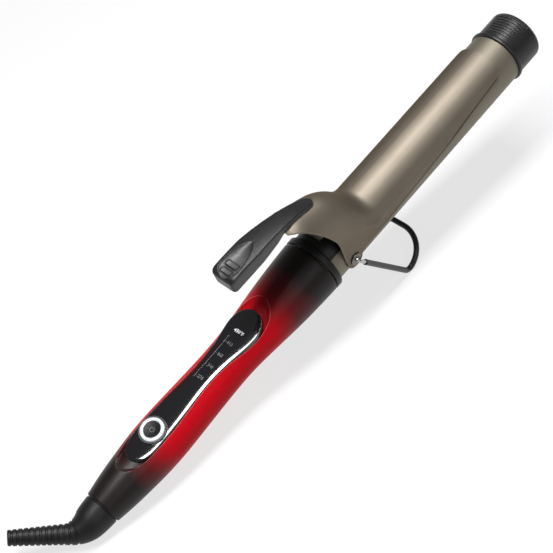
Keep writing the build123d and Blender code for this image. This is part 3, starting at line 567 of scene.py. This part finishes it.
def ease(value):
    """Smooth step between 0 and 1."""
    t = min(max(value, 0.0), 1.0)
    return t * t * (3 - 2 * t)


handle_radius = cubic(HANDLE_PROFILE)
recess_width = oval_half_width(RECESS_EDGE)
panel_width = oval_half_width(PANEL_EDGE)


def oval_stations(start, end, count):
    """Stations between the ends of an oval, closer together near both ends."""
    middle, half = (start + end) / 2, (end - start) / 2
    return [middle - half * cos(pi * k / count) for k in range(count + 1)]


# ---- handle -------------------------------------------------------------------------------------------
def recess_depth(station, from_edge):
    """Depth of the recess below the grip's own surface: dished ends, steep sides between them."""
    tail = (station - RECESS_EDGE[0][0]) / SCOOP_LENGTH["tail"]
    top = (RECESS_EDGE[-1][0] - station) / SCOOP_LENGTH["top"]
    lengthwise = 1 - (1 - min(max(min(tail, top), 0), 1)) ** 2
    near_end = 1 - ease(min(tail, top) * 1.6)
    sideways = min(from_edge / (GROOVE_WALL + END_WALL * near_end), 1)
    return GROOVE_DEPTH * lengthwise * (1 - (1 - sideways) ** 2)


def handle_outline(x):
    """Radius of the grip at a station, with its tail and its top rounded over."""
    tail = TAIL_ROUND * (1 - sqrt(1 - (1 - min(x, TAIL_ROUND) / TAIL_ROUND) ** 2)) if x < TAIL_ROUND else 0
    return float(handle_radius(x)) - (tail + 0.5 * max(0, x - HANDLE_LENGTH + 1) ** 2)


def make_handle():
    """Grip with a long wavy recess; its grid follows the recess edge so that the lip stays crisp."""
    stations = [0, 0.15, 0.5, 1.2] + list(np.arange(2.5, 18, 1.5))
    stations += oval_stations(RECESS_EDGE[0][0], RECESS_EDGE[-1][0], 150)
    stations += list(np.arange(136, HANDLE_LENGTH - 1.5, 1.6))
    stations += [HANDLE_LENGTH - 1, HANDLE_LENGTH - 0.3, HANDLE_LENGTH]
    steps = [0, 0.05, 0.12, 0.22, 0.34, 0.48, 0.62, 0.8]
    outside, inside = 150, 26
    rows, lip, sunk = [], [], []
    for x in stations:
        radius = handle_outline(x)
        width = min(recess_width(x), radius * 0.98)
        edge_angle = np.arcsin(width / radius)
        has_lip = width > 0.5
        row = []
        for k in range(outside):
            turn = edge_angle + (2 * pi - 2 * edge_angle) * k / outside
            row.append((x, radius * sin(turn), radius * cos(turn)))
            away = min(turn - edge_angle, 2 * pi - edge_angle - turn) * radius
            lip.append(max(0.0, 1 - away / LIP_OUTSIDE) if has_lip else 0.0)
            sunk.append(0.0)
        squeeze = min(1.0, width / 3)
        near = [s * squeeze for s in steps]
        across = [-width + s for s in near]
        across += list(np.linspace(-width + near[-1], width - near[-1], inside + 2)[1:-1])
        across += [width - s for s in reversed(near)]
        for y in across:
            from_edge = width - abs(y)
            depth = recess_depth(x, from_edge)
            row.append((x, y, sqrt(max(radius ** 2 - y * y, 0)) - depth))
            lip.append(max(0.0, 1 - from_edge / LIP_INSIDE) if has_lip else 0.0)
            sunk.append(depth / GROOVE_DEPTH)
        rows.append(row)
    columns = len(rows[0])
    inner = []
    for row in reversed(rows):
        x = min(max(row[0][0], BUSH_DEPTH), HANDLE_LENGTH)
        share = 1 - HANDLE_WALL / handle_radius(x)
        inner.append([(x, y * share, z * share) for _, y, z in row])
    hole = [[(x, BUSH_RADIUS * y / np.hypot(y, z), BUSH_RADIUS * z / np.hypot(y, z)) for _, y, z in rows[0]]
            for x in (BUSH_DEPTH, 0.0)]
    points = [p for row in rows + inner + hole for p in row]
    faces = grid_faces(len(rows) + len(inner) + len(hole), columns, close_rows=True, close_columns=True)
    put("grip_sleeve", points, faces, HANDLE, "handle", "handle_softtouch", sharp=50,
        replaces=["handle_sleeve"], weights={"lip": lip, "sunk": sunk})


def panel_height(station, y):
    """Height of the panel's top above the handle's axis."""
    across = min(abs(y) / max(panel_width(station), 0.5), 1)
    fall = max(across - PANEL_FLAT, 0) / (1 - PANEL_FLAT)
    return float(handle_radius(station)) - PANEL_INSET - PANEL_CROWN * fall ** 2


def make_panel():
    """Convex gloss panel with a rolled edge."""
    stations = oval_stations(PANEL_EDGE[0][0], PANEL_EDGE[-1][0], 130)
    rows = []
    for x in stations:
        width = panel_width(x)
        ends = min(x - PANEL_EDGE[0][0], PANEL_EDGE[-1][0] - x)
        row = []
        for k in range(61):
            y = -width * cos(pi * k / 60)
            from_edge = min(width - abs(y), ends)
            t = min(from_edge / PANEL_ROLL, 1)
            drop = PANEL_ROLL * 0.8 * (1 - sqrt(1 - (1 - t) ** 2))
            row.append((x, y, panel_height(x, y) - drop))
        rows.append(row + [(x, y, z - PANEL_THICKNESS) for _, y, z in reversed(row)])
    columns = len(rows[0])
    points = [p for row in rows for p in row]
    faces = grid_faces(len(rows), columns, close_columns=True)
    put("display_panel", points, faces, HANDLE, "handle", "gloss_black", sharp=60,
        replaces=["control_panel"])


def cap_height(x, y):
    """Height of the dished top of the button's centre."""
    across = ((x - BUTTON_STATION) ** 2 + y ** 2) / CAP_RADIUS ** 2
    return BUTTON_TOP - CAP_DROP - CAP_DISH * (1 - across)


def make_button():
    """Bezel, bright ring and dished dark centre of the power button."""
    base = BUTTON_TOP - BUTTON_DEPTH
    bezel_top = BUTTON_TOP - BEZEL_DROP
    turned = {"axis": "Z", "centre": (BUTTON_STATION, 0, 0)}
    bezel = rounded([(base, BEZEL_RADIUS), (bezel_top, BEZEL_RADIUS), (bezel_top, RING_RADIUS + 0.2),
                     (base, RING_RADIUS + 0.2)], 0.25)
    lathe("bezel", bezel, HANDLE, "handle", "gloss_black", replaces=["button_bezel"], finish="bezel_grey",
          **turned)
    ring = rounded([(base, RING_RADIUS), (BUTTON_TOP, RING_RADIUS), (BUTTON_TOP, CAP_RADIUS + 0.02),
                    (base, CAP_RADIUS + 0.02)], 0.7, 6)
    lathe("power_ring", ring, HANDLE, "power_button", "bright_metal", replaces=["button_ring"], **turned)
    dish = [(BUTTON_TOP - CAP_DROP - CAP_DISH * (1 - (r / CAP_RADIUS) ** 2), r)
            for r in np.linspace(0.001, 4.5, 12)]
    cap = dish + [(BUTTON_TOP - 0.52, CAP_RADIUS - 0.06), (BUTTON_TOP - 0.8, CAP_RADIUS - 0.01),
                  (base, CAP_RADIUS - 0.01), (base, 0.001)]
    lathe("power_cap", cap, HANDLE, "power_button", "black_plastic", replaces=["button_cap"], **turned)


def flat_band(name, path, width, height_at, finish, lift=0.03, thick=0.03, body="handle"):
    """A thin printed line that follows a path of (x, y) on a surface."""
    points, faces = [], []
    for i, (x, y) in enumerate(path):
        before, after = path[max(i - 1, 0)], path[min(i + 1, len(path) - 1)]
        along = Vector((after[0] - before[0], after[1] - before[1])).normalized()
        for side in (-1, 1):
            px, py = x - along.y * side * width / 2, y + along.x * side * width / 2
            points.append((px, py, height_at(px, py) + lift))
    count = len(path)
    for i in range(count - 1):
        faces.append((2 * i, 2 * i + 1, 2 * i + 3, 2 * i + 2))
    lower = [(x, y, z - thick) for x, y, z in points]
    base = len(points)
    faces += [(base + d, base + c, base + b, base + a) for a, b, c, d in list(faces)]
    for i in range(count - 1):
        for side in (0, 1):
            a, b = 2 * i + side, 2 * i + 2 + side
            faces.append((a, b, base + b, base + a))
    faces += [(0, 1, base + 1, base), (base - 2, base - 1, 2 * base - 1, 2 * base - 2)]
    put(name, points + lower, faces, HANDLE, body, "gloss_black", finish=finish)


def lettered(name, text, size, station, finish):
    """Generic numerals printed on the panel, read with the tip up."""
    curve = bpy.data.curves.new(name, "FONT")
    curve.body = text
    curve.size = size
    curve.align_x = "CENTER"
    curve.align_y = "CENTER"
    curve.resolution_u = 3
    curve.offset = 0.012 * size
    holder = link(name, curve)
    bpy.context.view_layer.update()
    flat = bmesh.new()
    flat.from_mesh(bpy.data.meshes.new_from_object(holder))
    bpy.data.objects.remove(holder)
    bmesh.ops.triangulate(flat, faces=flat.faces)
    spots = [(station + v.co.y, -v.co.x) for v in flat.verts]
    front = [[v.index for v in face.verts] for face in flat.faces]
    rims = [(loop.vert.index, loop.link_loop_next.vert.index)
            for face in flat.faces for loop in face.loops if loop.edge.is_boundary]
    flat.free()
    count = len(spots)
    points = [(px, py, panel_height(px, py) + lift) for lift in (0.0, 0.035) for px, py in spots]
    # made here, since the extrude operator's order of faces varies from run to run
    faces = [face[::-1] for face in front]
    faces += [[i + count for i in face] for face in front]
    faces += [(a, b, b + count, a + count) for a, b in rims]
    put(name, points, faces, HANDLE, "handle", "gloss_black", finish)


def make_markings():
    """Scale line with a tick at each level, and the five temperatures, the top one lit."""
    stations = np.linspace(LEVEL_STATIONS[0] - 1.5, LEVEL_STATIONS[-1] - 4, 40)
    line = [(float(x), SCALE_OFFSET) for x in stations]
    flat_band("scale_line", line, PRINT_WIDTH, panel_height, "ink_dim")
    for index, (station, text) in enumerate(zip(LEVEL_STATIONS, LEVEL_TEXTS)):
        bright = index == len(LEVEL_STATIONS) - 1
        if not bright:
            tick = [(station, SCALE_OFFSET - 0.15), (station, SCALE_OFFSET - 0.9)]
            flat_band(f"scale_tick_{index + 1}", tick, 0.3, panel_height, "ink_dim")
        lettered(f"level_mark_{index + 1}", text, 2.7 if bright else 2.5, station,
                 "ink_bright" if bright else "ink_dim")


def make_power_symbol():
    """Small raised power symbol on the button's centre."""
    arc = [(BUTTON_STATION + SYMBOL_RADIUS * cos(a), SYMBOL_RADIUS * sin(a))
           for a in np.linspace(0.7, 2 * pi - 0.7, 40)]
    bar = [(BUTTON_STATION + x, 0.0) for x in np.linspace(0.3, 1.7, 8)]
    for name, path in (("power_symbol_arc", arc), ("power_symbol_bar", bar)):
        flat_band(name, path, PRINT_WIDTH, cap_height, "ink_dim", 0.04, 0.05, "power_button")


make_handle()
make_panel()
make_button()
make_markings()
make_power_symbol()


# ---- swivel boot ------------------------------------------------------------------------------------------
def boot_ring(distance, radius):
    """A ring of the boot's skin at a distance along its bent centre line."""
    turn = min(max(distance - BOOT_STRAIGHT, 0) / BOOT_BEND_RADIUS, radians(BOOT_BEND))
    past = max(distance - BOOT_STRAIGHT - BOOT_BEND_RADIUS * radians(BOOT_BEND), 0)
    back = BOOT_GAP + min(distance, BOOT_STRAIGHT) + BOOT_BEND_RADIUS * sin(turn) + past * cos(turn)
    rise = BOOT_BEND_RADIUS * (1 - cos(turn)) + past * sin(turn)
    ring = []
    for k in range(BOOT_COLUMNS):
        a = 2 * pi * k / BOOT_COLUMNS
        down = radius * sin(a)
        ring.append((-back - down * sin(turn), radius * cos(a), rise - down * cos(turn)))
    return ring


def capped(rows):
    """Points and faces of stacked rings with a hub closing each end."""
    columns = len(rows[0])
    points = [p for row in rows for p in row]
    faces = grid_faces(len(rows), columns, close_columns=True)
    for row, base, order in ((rows[0], 0, 1), (rows[-1], (len(rows) - 1) * columns, -1)):
        hub = len(points)
        points.append(tuple(sum(p[i] for p in row) / columns for i in range(3)))
        faces += [(base + k, base + (k + 1) % columns, hub)[::order] for k in range(columns)]
    return points, faces


def make_boot():
    """Rubber boot: smooth bent cone, ribbed tail, rounded end and the cord's hole in it."""
    bend_end = BOOT_STRAIGHT + BOOT_BEND_RADIUS * radians(BOOT_BEND)
    total = bend_end + BOOT_TAIL
    ribs_start = bend_end - RIBS_BEFORE_BEND_END
    pitch = (total - ribs_start) / RIB_COUNT
    cone = cubic(BOOT_PROFILE)
    rows = [boot_ring(SPINDLE_DEPTH, SPINDLE_RADIUS), boot_ring(0.0, SPINDLE_RADIUS)]
    for a in (0, 20, 40, 60, 80):
        rows.append(boot_ring(0.5 * (1 - cos(radians(a))), 9.3 + 0.5 * sin(radians(a))))
    rows += [boot_ring(d, float(cone(d))) for d in np.arange(0.7, ribs_start, 0.45)]
    for d in np.arange(ribs_start, total - BOOT_END_ROUND, 0.1):
        outer = float(cone(min(d, bend_end))) - BOOT_TAPER * max(d - bend_end, 0)
        phase = ((d - ribs_start) / pitch) % 1
        groove = ease(phase / 0.12) * ease((0.44 - phase) / 0.12)
        rows.append(boot_ring(d, outer - RIB_GROOVE * groove))
    end_radius = float(cone(bend_end)) - BOOT_TAPER * BOOT_TAIL
    for a in (0, 25, 50, 70, 90):
        rows.append(boot_ring(total - BOOT_END_ROUND * (1 - sin(radians(a))),
                              end_radius - BOOT_END_ROUND * (1 - cos(radians(a)))))
    rows += [boot_ring(total, CORD_RADIUS + 0.15), boot_ring(total - 0.15, CORD_RADIUS),
             boot_ring(total - CORD_DEPTH, CORD_RADIUS)]
    points, faces = capped(rows)
    put("boot_rubber", points, faces, SWIVEL, "swivel", "rubber_black", sharp=45, replaces=["cord_boot"])


# ---- cool tip ---------------------------------------------------------------------------------------------
def tip_field_depth(x, y):
    """How far the ribbed field lies below the cap's skin."""
    start, end = TIP_FIELD
    half = 6.6 + 4.0 * (x - start) / (end - start)
    inside = min(x - start, end - x, half - abs(y))
    if inside <= 0:
        return 0.0
    phase = ((x - start - 0.8) / TIP_RIB_PITCH) % 1
    rib = ease(phase / 0.14) * ease((0.4 - phase) / 0.14) * ease((inside - 0.35) / 0.25)
    return TIP_FIELD_DEPTH * ease(inside / 0.25) - TIP_RIB_HEIGHT * rib


def make_tip():
    """Cap with a rolled rim, a rounded end, a screw recess and a sunk field of ribs on the lever's side."""
    rim = [(TIP_START, 14.0), (TIP_START, 16.65), (331.45, 16.95), (331.75, 17.1), (333.0, 17.1),
           (333.3, 17.0), (333.45, 16.7), (333.55, 16.3), (333.8, TIP_RADIUS)]
    skin = list(np.arange(334.2, 335.8, 0.4)) + list(np.arange(335.8, TIP_END - TIP_ROUND, 0.11))
    bend = [(TIP_END - TIP_ROUND + TIP_ROUND * sin(a), TIP_RADIUS - TIP_ROUND * (1 - cos(a)))
            for a in np.linspace(0.1, pi / 2, 12)]
    inside = [(TIP_END, 5.1), (TIP_END - 0.1, 4.85), (TIP_END - 2.8, 4.8), (TIP_END - 2.8, 2.2),
              (347, 2.2), (347, 13), (333, 13)]
    profile = rim + [(x, TIP_RADIUS) for x in skin] + bend + inside
    points, crest_highlights = [], []
    for x, radius in profile:
        for k in range(TIP_COLUMNS):
            a = 2 * pi * k / TIP_COLUMNS
            on_skin = cos(a) > 0 and radius > TIP_RADIUS - 0.4 and x < TIP_FIELD[1]
            depth = tip_field_depth(x, radius * sin(a)) if on_skin else 0
            sunk = radius - depth
            points.append((x, sunk * sin(a), sunk * cos(a)))
            # painted highlight: the tip's rib crests are drawn as light lines
            crest_highlights.append(ease((0.35 - depth) / 0.25) if depth > 0 else 0.0)
    faces = grid_faces(len(profile), TIP_COLUMNS, close_rows=True, close_columns=True)
    put("tip_cap", points, faces, TOOL, "handle", "black_plastic", finish="lever_black", sharp=45,
        replaces=["cool_tip"], weights={"painted_light": crest_highlights})


make_boot()
make_tip()


# ---- lever ------------------------------------------------------------------------------------------------
lever_crest = cubic(LEVER_CREST)
hood_crown, hood_base, hood_half = (
    cubic([(station[0], station[column]) for station in HOOD_STATIONS]) for column in (1, 2, 3)
)


def lever_half_width(x):
    """Half-width of the lever: round corners at the nose, straight, then drawn in to a round front."""
    corner = max(LEVER_START + LEVER_NOSE - x, 0)
    width = LEVER_HALF_WIDTH - LEVER_NOSE + sqrt(max(LEVER_NOSE ** 2 - corner ** 2, 0))
    width -= max(x - 140, 0) * 0.098
    to_front = max(x - (LEVER_END - LEVER_FRONT), 0) / LEVER_FRONT
    return max(width * sqrt(max(1 - to_front ** 2.4, 0)), 0.05)


def ridge_distance(x, y):
    """Distance in the plan view to the nearer of the two rounded bars, below zero inside them."""
    gaps = []
    for index, station in enumerate(RIDGE_STATIONS):
        half_length = 3.0 + 0.5 * index
        beyond = Vector((max(abs(x - station) - 0.75, 0), max(abs(y) - half_length + 0.5, 0)))
        gaps.append(beyond.length - 0.5)
    return min(gaps)


def groove_at(distance):
    """Weight of the fine groove that outlines each bar."""
    return float(np.exp(-((distance - 0.4) / 0.3) ** 2))


def scoop_half_width(x):
    """Half-width of the thumb scoop: a point towards the front and a round end at the nose."""
    from_tip = SCOOP_TIP - x
    if from_tip <= 0:
        return 0.0
    nose = sqrt(max(1 - (max(from_tip - 15, 0) / 9.4) ** 2.5, 0))
    return SCOOP_HALF_WIDTH * (1 - np.exp(-from_tip / 6.5)) * nose


def lever_top(x, y):
    """Height of the lever's top: a low crown, hollowed by a teardrop scoop with two ridges."""
    crown = float(lever_crest(x)) - 0.6 * (y / LEVER_HALF_WIDTH) ** 2
    from_tip = SCOOP_TIP - x
    half = scoop_half_width(x)
    if abs(y) >= half:
        return crown
    inside = 1 - (y / half) ** 2
    depth = min(0.24 * from_tip, SCOOP_DEPTH) * (1 - 0.35 * ease((from_tip - 14) / 9))
    distance = ridge_distance(x, y)
    ridge = RIDGE_HEIGHT * ease((0.2 - distance) / 0.45) - RIDGE_GROOVE * groove_at(distance)
    return crown - depth * inside ** 0.8 + ridge * ease(inside * 5)


def lever_floor(x, y, inset):
    """Height of the lever's underside: flat at the nose, then standing on the hood's crown."""
    arch = sqrt(max(1 - (y / float(hood_half(x))) ** 2, 0))
    on_hood = float(hood_base(x)) + float(hood_crown(x) - hood_base(x)) * arch - 0.25
    return LEVER_BOTTOM + (on_hood - LEVER_BOTTOM) * ease((x - 152) / 5) + inset


def painted_light_weight(x, y, z):
    """How much painted light the lever gets at a point: a painted reflection in the scoop and painted light
    on the sides.
    """
    inside = (scoop_half_width(x) - abs(y)) / 1.2 if z > 54 else 0
    painted_highlight = ease(inside) * ease((SCOOP_TIP - x) / 12) * (1 - 0.9 * groove_at(ridge_distance(x, y)))
    # painted light: the sides below the top edge are drawn lighter
    side = 0.85 * ease((lever_top(x, y) - z - 0.6) / 0.5)
    return max(painted_highlight, side)


def make_lever():
    """Moulded lever cover: one skin from nose to front."""
    stations = [LEVER_START + LEVER_NOSE_ROUND * t for t in (0, 0.06, 0.18, 0.36, 0.6, 1)]
    stations += list(np.arange(LEVER_START + 1.05, SCOOP_TIP + 1, 0.25))
    stations += list(np.arange(SCOOP_TIP + 1.5, LEVER_END - LEVER_FRONT, 1.0))
    stations += [LEVER_END - LEVER_FRONT * (1 - t) for t in (0, 0.2, 0.4, 0.6, 0.75, 0.87, 0.95, 0.985, 1)]
    rows = []
    for x in stations:
        near_nose = min((x - LEVER_START) / LEVER_NOSE_ROUND, 1)
        inset = LEVER_NOSE_ROUND * (1 - sqrt(1 - (1 - near_nose) ** 2))
        width = max(lever_half_width(x) - inset, 0.04)
        low = lever_floor(x, width, inset)
        shoulder = min(0.7, width * 0.5, 0.4 * (lever_top(x, width) - low))
        flat = width - shoulder
        row = [(y, lever_top(x, y) - inset) for y in np.linspace(-flat, flat, 57)]
        edge_z = row[-1][1]
        bends = [radians(a) for a in (15, 30, 45, 60, 75, 90)]
        right = [(flat + shoulder * sin(a), edge_z - shoulder * (1 - cos(a))) for a in bends]
        right += [(width - 0.03, edge_z - shoulder - (edge_z - shoulder - low) * t) for t in (0.3, 0.6, 0.85)]
        right += [(width - 0.12, low + 0.12), (width - 0.3, low)]
        under = [(0.0, low)] * 9
        if width > 0.6:
            under = [(y, lever_floor(x, y, inset)) for y in np.linspace(width - 0.35, -width + 0.35, 9)]
        left = [(-y, z) for y, z in reversed(right)]
        rows.append([(x, y, z) for y, z in row + right + under + left])
    points, faces = capped(rows)
    # the painted light weight gives the scoop a painted reflection and the sides painted light
    put("lever_grip", points, faces, TOOL, "clip", node_slots["lever_cover"], finish="lever_black", sharp=38,
        replaces=["lever_cover"], weights={"painted_light": [painted_light_weight(*point) for point in points]})


make_lever()


# ---- turned pieces -----------------------------------------------------------------------------------------
def make_turned():
    """Barrel tube, collar ring and the washer behind the tail, with finely rounded rims."""
    inner = BARREL_RADIUS - BARREL_WALL
    tube = rounded([(BARREL_START, inner), (BARREL_START, BARREL_RADIUS), (BARREL_END, BARREL_RADIUS),
                    (BARREL_END, inner)], 0.3)
    lathe("barrel_skin", tube, TOOL, "handle", "barrel_bronze", columns=220, replaces=["barrel_tube"])
    collar = rounded([(COLLAR_START, BARREL_RADIUS), (COLLAR_START, COLLAR_RADIUS),
                      (COLLAR_END, COLLAR_RADIUS), (COLLAR_END, BARREL_RADIUS)], 0.8, 6)
    lathe("neck_collar", collar, TOOL, "handle", "black_plastic", columns=200, replaces=["collar_ring"])
    washer = rounded([(-0.5, 7.3), (-0.5, 9.3), (0.4, 9.3), (0.4, 7.3)], 0.15)
    lathe("tail_washer", washer, HANDLE, "handle", "black_plastic")


def make_neck_shade():
    """Thin black saddle on top of the neck, under the clip's spring: painted shade, a dark piece where the
    hood's shade falls.
    """
    turns = [radians(a) for a in range(-SADDLE_ANGLE, SADDLE_ANGLE + 1, 2)]
    count = len(turns)
    rows = []
    for x in (SADDLE_START, SADDLE_START + 0.3, SADDLE_END - 0.3, SADDLE_END):
        outer = SADDLE_RADIUS - (0.2 if x in (SADDLE_START, SADDLE_END) else 0)
        row = [(x, outer * sin(a), outer * cos(a)) for a in turns]
        rows.append(row + [(x, SADDLE_FOOT * sin(a), SADDLE_FOOT * cos(a)) for a in reversed(turns)])
    points = [p for row in rows for p in row]
    faces = grid_faces(len(rows), 2 * count, close_columns=True)
    for base, order in ((0, -1), ((len(rows) - 1) * 2 * count, 1)):
        for k in range(count - 1):
            a, b = base + k, base + 2 * count - 1 - k
            faces.append((a, a + 1, b - 1, b)[::order])
    # painted shade: the black piece darkens the neck under the hood
    put("neck_shade_piece", points, faces, TOOL, "handle", "black_plastic")


make_turned()
make_neck_shade()


# ---- clip spring, between the handle and the clip ------------------------------------------------------
def make_spring():
    """Leaf spring with its foot on the barrel and its back along the hood."""
    last_step = len(SPRING_ROUTE) - 1
    curve_x, curve_z = (cubic([(step, spot[i]) for step, spot in enumerate(SPRING_ROUTE)]) for i in (0, 1))
    half = SPRING_HALF_WIDTH
    rows = []
    for t in np.linspace(0, last_step, 60):
        x, z = float(curve_x(t)), float(curve_z(t))
        ahead, behind = min(t + 0.01, last_step), max(t - 0.01, 0)
        along = Vector((curve_x(ahead) - curve_x(behind), 0, curve_z(ahead) - curve_z(behind))).normalized()
        out = Vector((-along.z, 0, along.x)) * SPRING_HALF_THICKNESS
        corners = ((1, -half), (1, half), (-1, half), (-1, -half))
        rows.append([(x + s * out.x, y, z + s * out.z) for s, y in corners])
    points = [p for row in rows for p in row]
    faces = grid_faces(len(rows), 4, close_columns=True) + [(3, 2, 1, 0)]
    last = 4 * (len(rows) - 1)
    faces.append((last, last + 1, last + 2, last + 3))
    mesh = plain_mesh("clip_leaf_spring", points, faces, TOOL)
    mesh.shade_smooth()
    mesh.set_sharp_from_angle(angle=radians(40))
    mesh.materials.append(FINISHES["spring_steel"])
    piece = link("clip_leaf_spring", mesh)
    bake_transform(piece)
    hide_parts("clip_spring")


make_spring()


# ---- stage, light and camera ------------------------------------------------------------------------------
def make_floor():
    """Plain pale floor under the iron, in metres, bright enough to read as white paper."""
    count, side = 24, 24.0
    points = [(side * (i / count - 0.5), side * (j / count - 0.5), 0) for i in range(count + 1)
              for j in range(count + 1)]
    mesh = bpy.data.meshes.new("floor")
    mesh.from_pydata(points, [], grid_faces(count + 1, count + 1))
    floor = link("floor", mesh)
    finish = Finish("floor_paper", Emission_Strength=0.72)
    finish.shader.inputs["Emission Color"].default_value = (1, 1, 1, 1)
    grain = finish.noise(1.5, 3.0)
    finish.use("Base Color", finish.mix(grain, (0.15, 0.15, 0.15), (0.17, 0.17, 0.17)))
    finish.use("Roughness", finish.span(grain, 0.3, 0.7, 0.75, 0.9))
    mesh.materials.append(finish.material)


def softbox(name, power, size, azimuth, elevation, distance, target):
    """Area light aimed at a point, placed by azimuth from -Y towards +X and elevation above the floor.

    Sizes and distances are in metres, angles in degrees and the power in watts.
    """
    data = bpy.data.lights.new(name, "AREA")
    data.shape = "RECTANGLE"
    data.size, data.size_y = size
    data.energy = power
    light = link(name, data)
    a, e = radians(azimuth), radians(elevation)
    offset = Vector((cos(e) * sin(a), -cos(e) * cos(a), sin(e))) * distance
    away = offset.normalized()
    long_side = Vector((1, 0, 0)) - away * away.x
    long_side.normalize()
    across = away.cross(long_side)
    light.matrix_world = Matrix.Translation(Vector(target) + offset) @ Matrix((
        (long_side.x, across.x, away.x), (long_side.y, across.y, away.y), (long_side.z, across.z, away.z),
    )).to_4x4()


def make_world():
    """Studio surroundings: bright along the horizon, dim just above it, softer grey overhead."""
    world = bpy.data.worlds.new("studio")
    bpy.context.scene.world = world
    world.use_nodes = True
    tree = world.node_tree
    background = tree.nodes["Background"]
    direction = tree.nodes.new("ShaderNodeTexCoord").outputs["Generated"]
    split = tree.nodes.new("ShaderNodeSeparateXYZ")
    tree.links.new(direction, split.inputs[0])
    ramp = tree.nodes.new("ShaderNodeValToRGB")
    tree.links.new(split.outputs[2], ramp.inputs[0])
    elements = ramp.color_ramp.elements
    elements[0].color = (0.45, 0.45, 0.455, 1)
    elements[1].color = (0.16, 0.16, 0.163, 1)
    elements[1].position = 0.9
    dim = elements.new(0.3)
    dim.color = (0.10, 0.10, 0.10, 1)
    tree.links.new(ramp.outputs[0], background.inputs["Color"])
    background.inputs["Strength"].default_value = 1.0


def make_camera():
    """Camera above the iron's near side, rolled so that the iron runs from corner to corner.

    It stands at a station of the barrel's axis (foot_station), millimetres away from it (distance) and to
    one side (offset), turned about the axis (side_turn) and leaning towards the tip (lean).
    """
    distance, side_turn, lean, roll = 700.0, radians(32), radians(14.8), radians(48.35)
    foot_station, offset = -34.8, 10.3
    outward = Vector((0, -sin(side_turn), cos(side_turn)))
    upward = Vector((0, cos(side_turn), sin(side_turn)))
    along = Vector((1, 0, 0))
    spot = along * foot_station + outward * distance + upward * offset
    forward = along * sin(lean) - outward * cos(lean)
    u = along * cos(lean) + outward * sin(lean)
    right = u * cos(roll) - upward * sin(roll)
    up = u * sin(roll) + upward * cos(roll)
    turn = TOOL.to_3x3().normalized()
    data = bpy.data.cameras.new("camera")
    data.lens = 88.5
    data.sensor_width = 36.0
    data.clip_start = 0.01
    camera = link("camera", data)
    axes = Matrix([turn @ right, turn @ up, turn @ -forward]).transposed()
    camera.matrix_world = Matrix.Translation(TOOL @ spot) @ axes.to_4x4()
    bpy.context.scene.camera = camera


make_floor()
make_world()
make_camera()
middle = (0.0, 0.0, 0.04)
softbox("overhead_strip", 12.5, (0.9, 0.16), 180, 86, 0.75, middle)
softbox("near_fill", 3.0, (0.9, 0.5), -10, 40, 1.2, middle)
bpy.context.scene.view_settings.view_transform = "Standard"
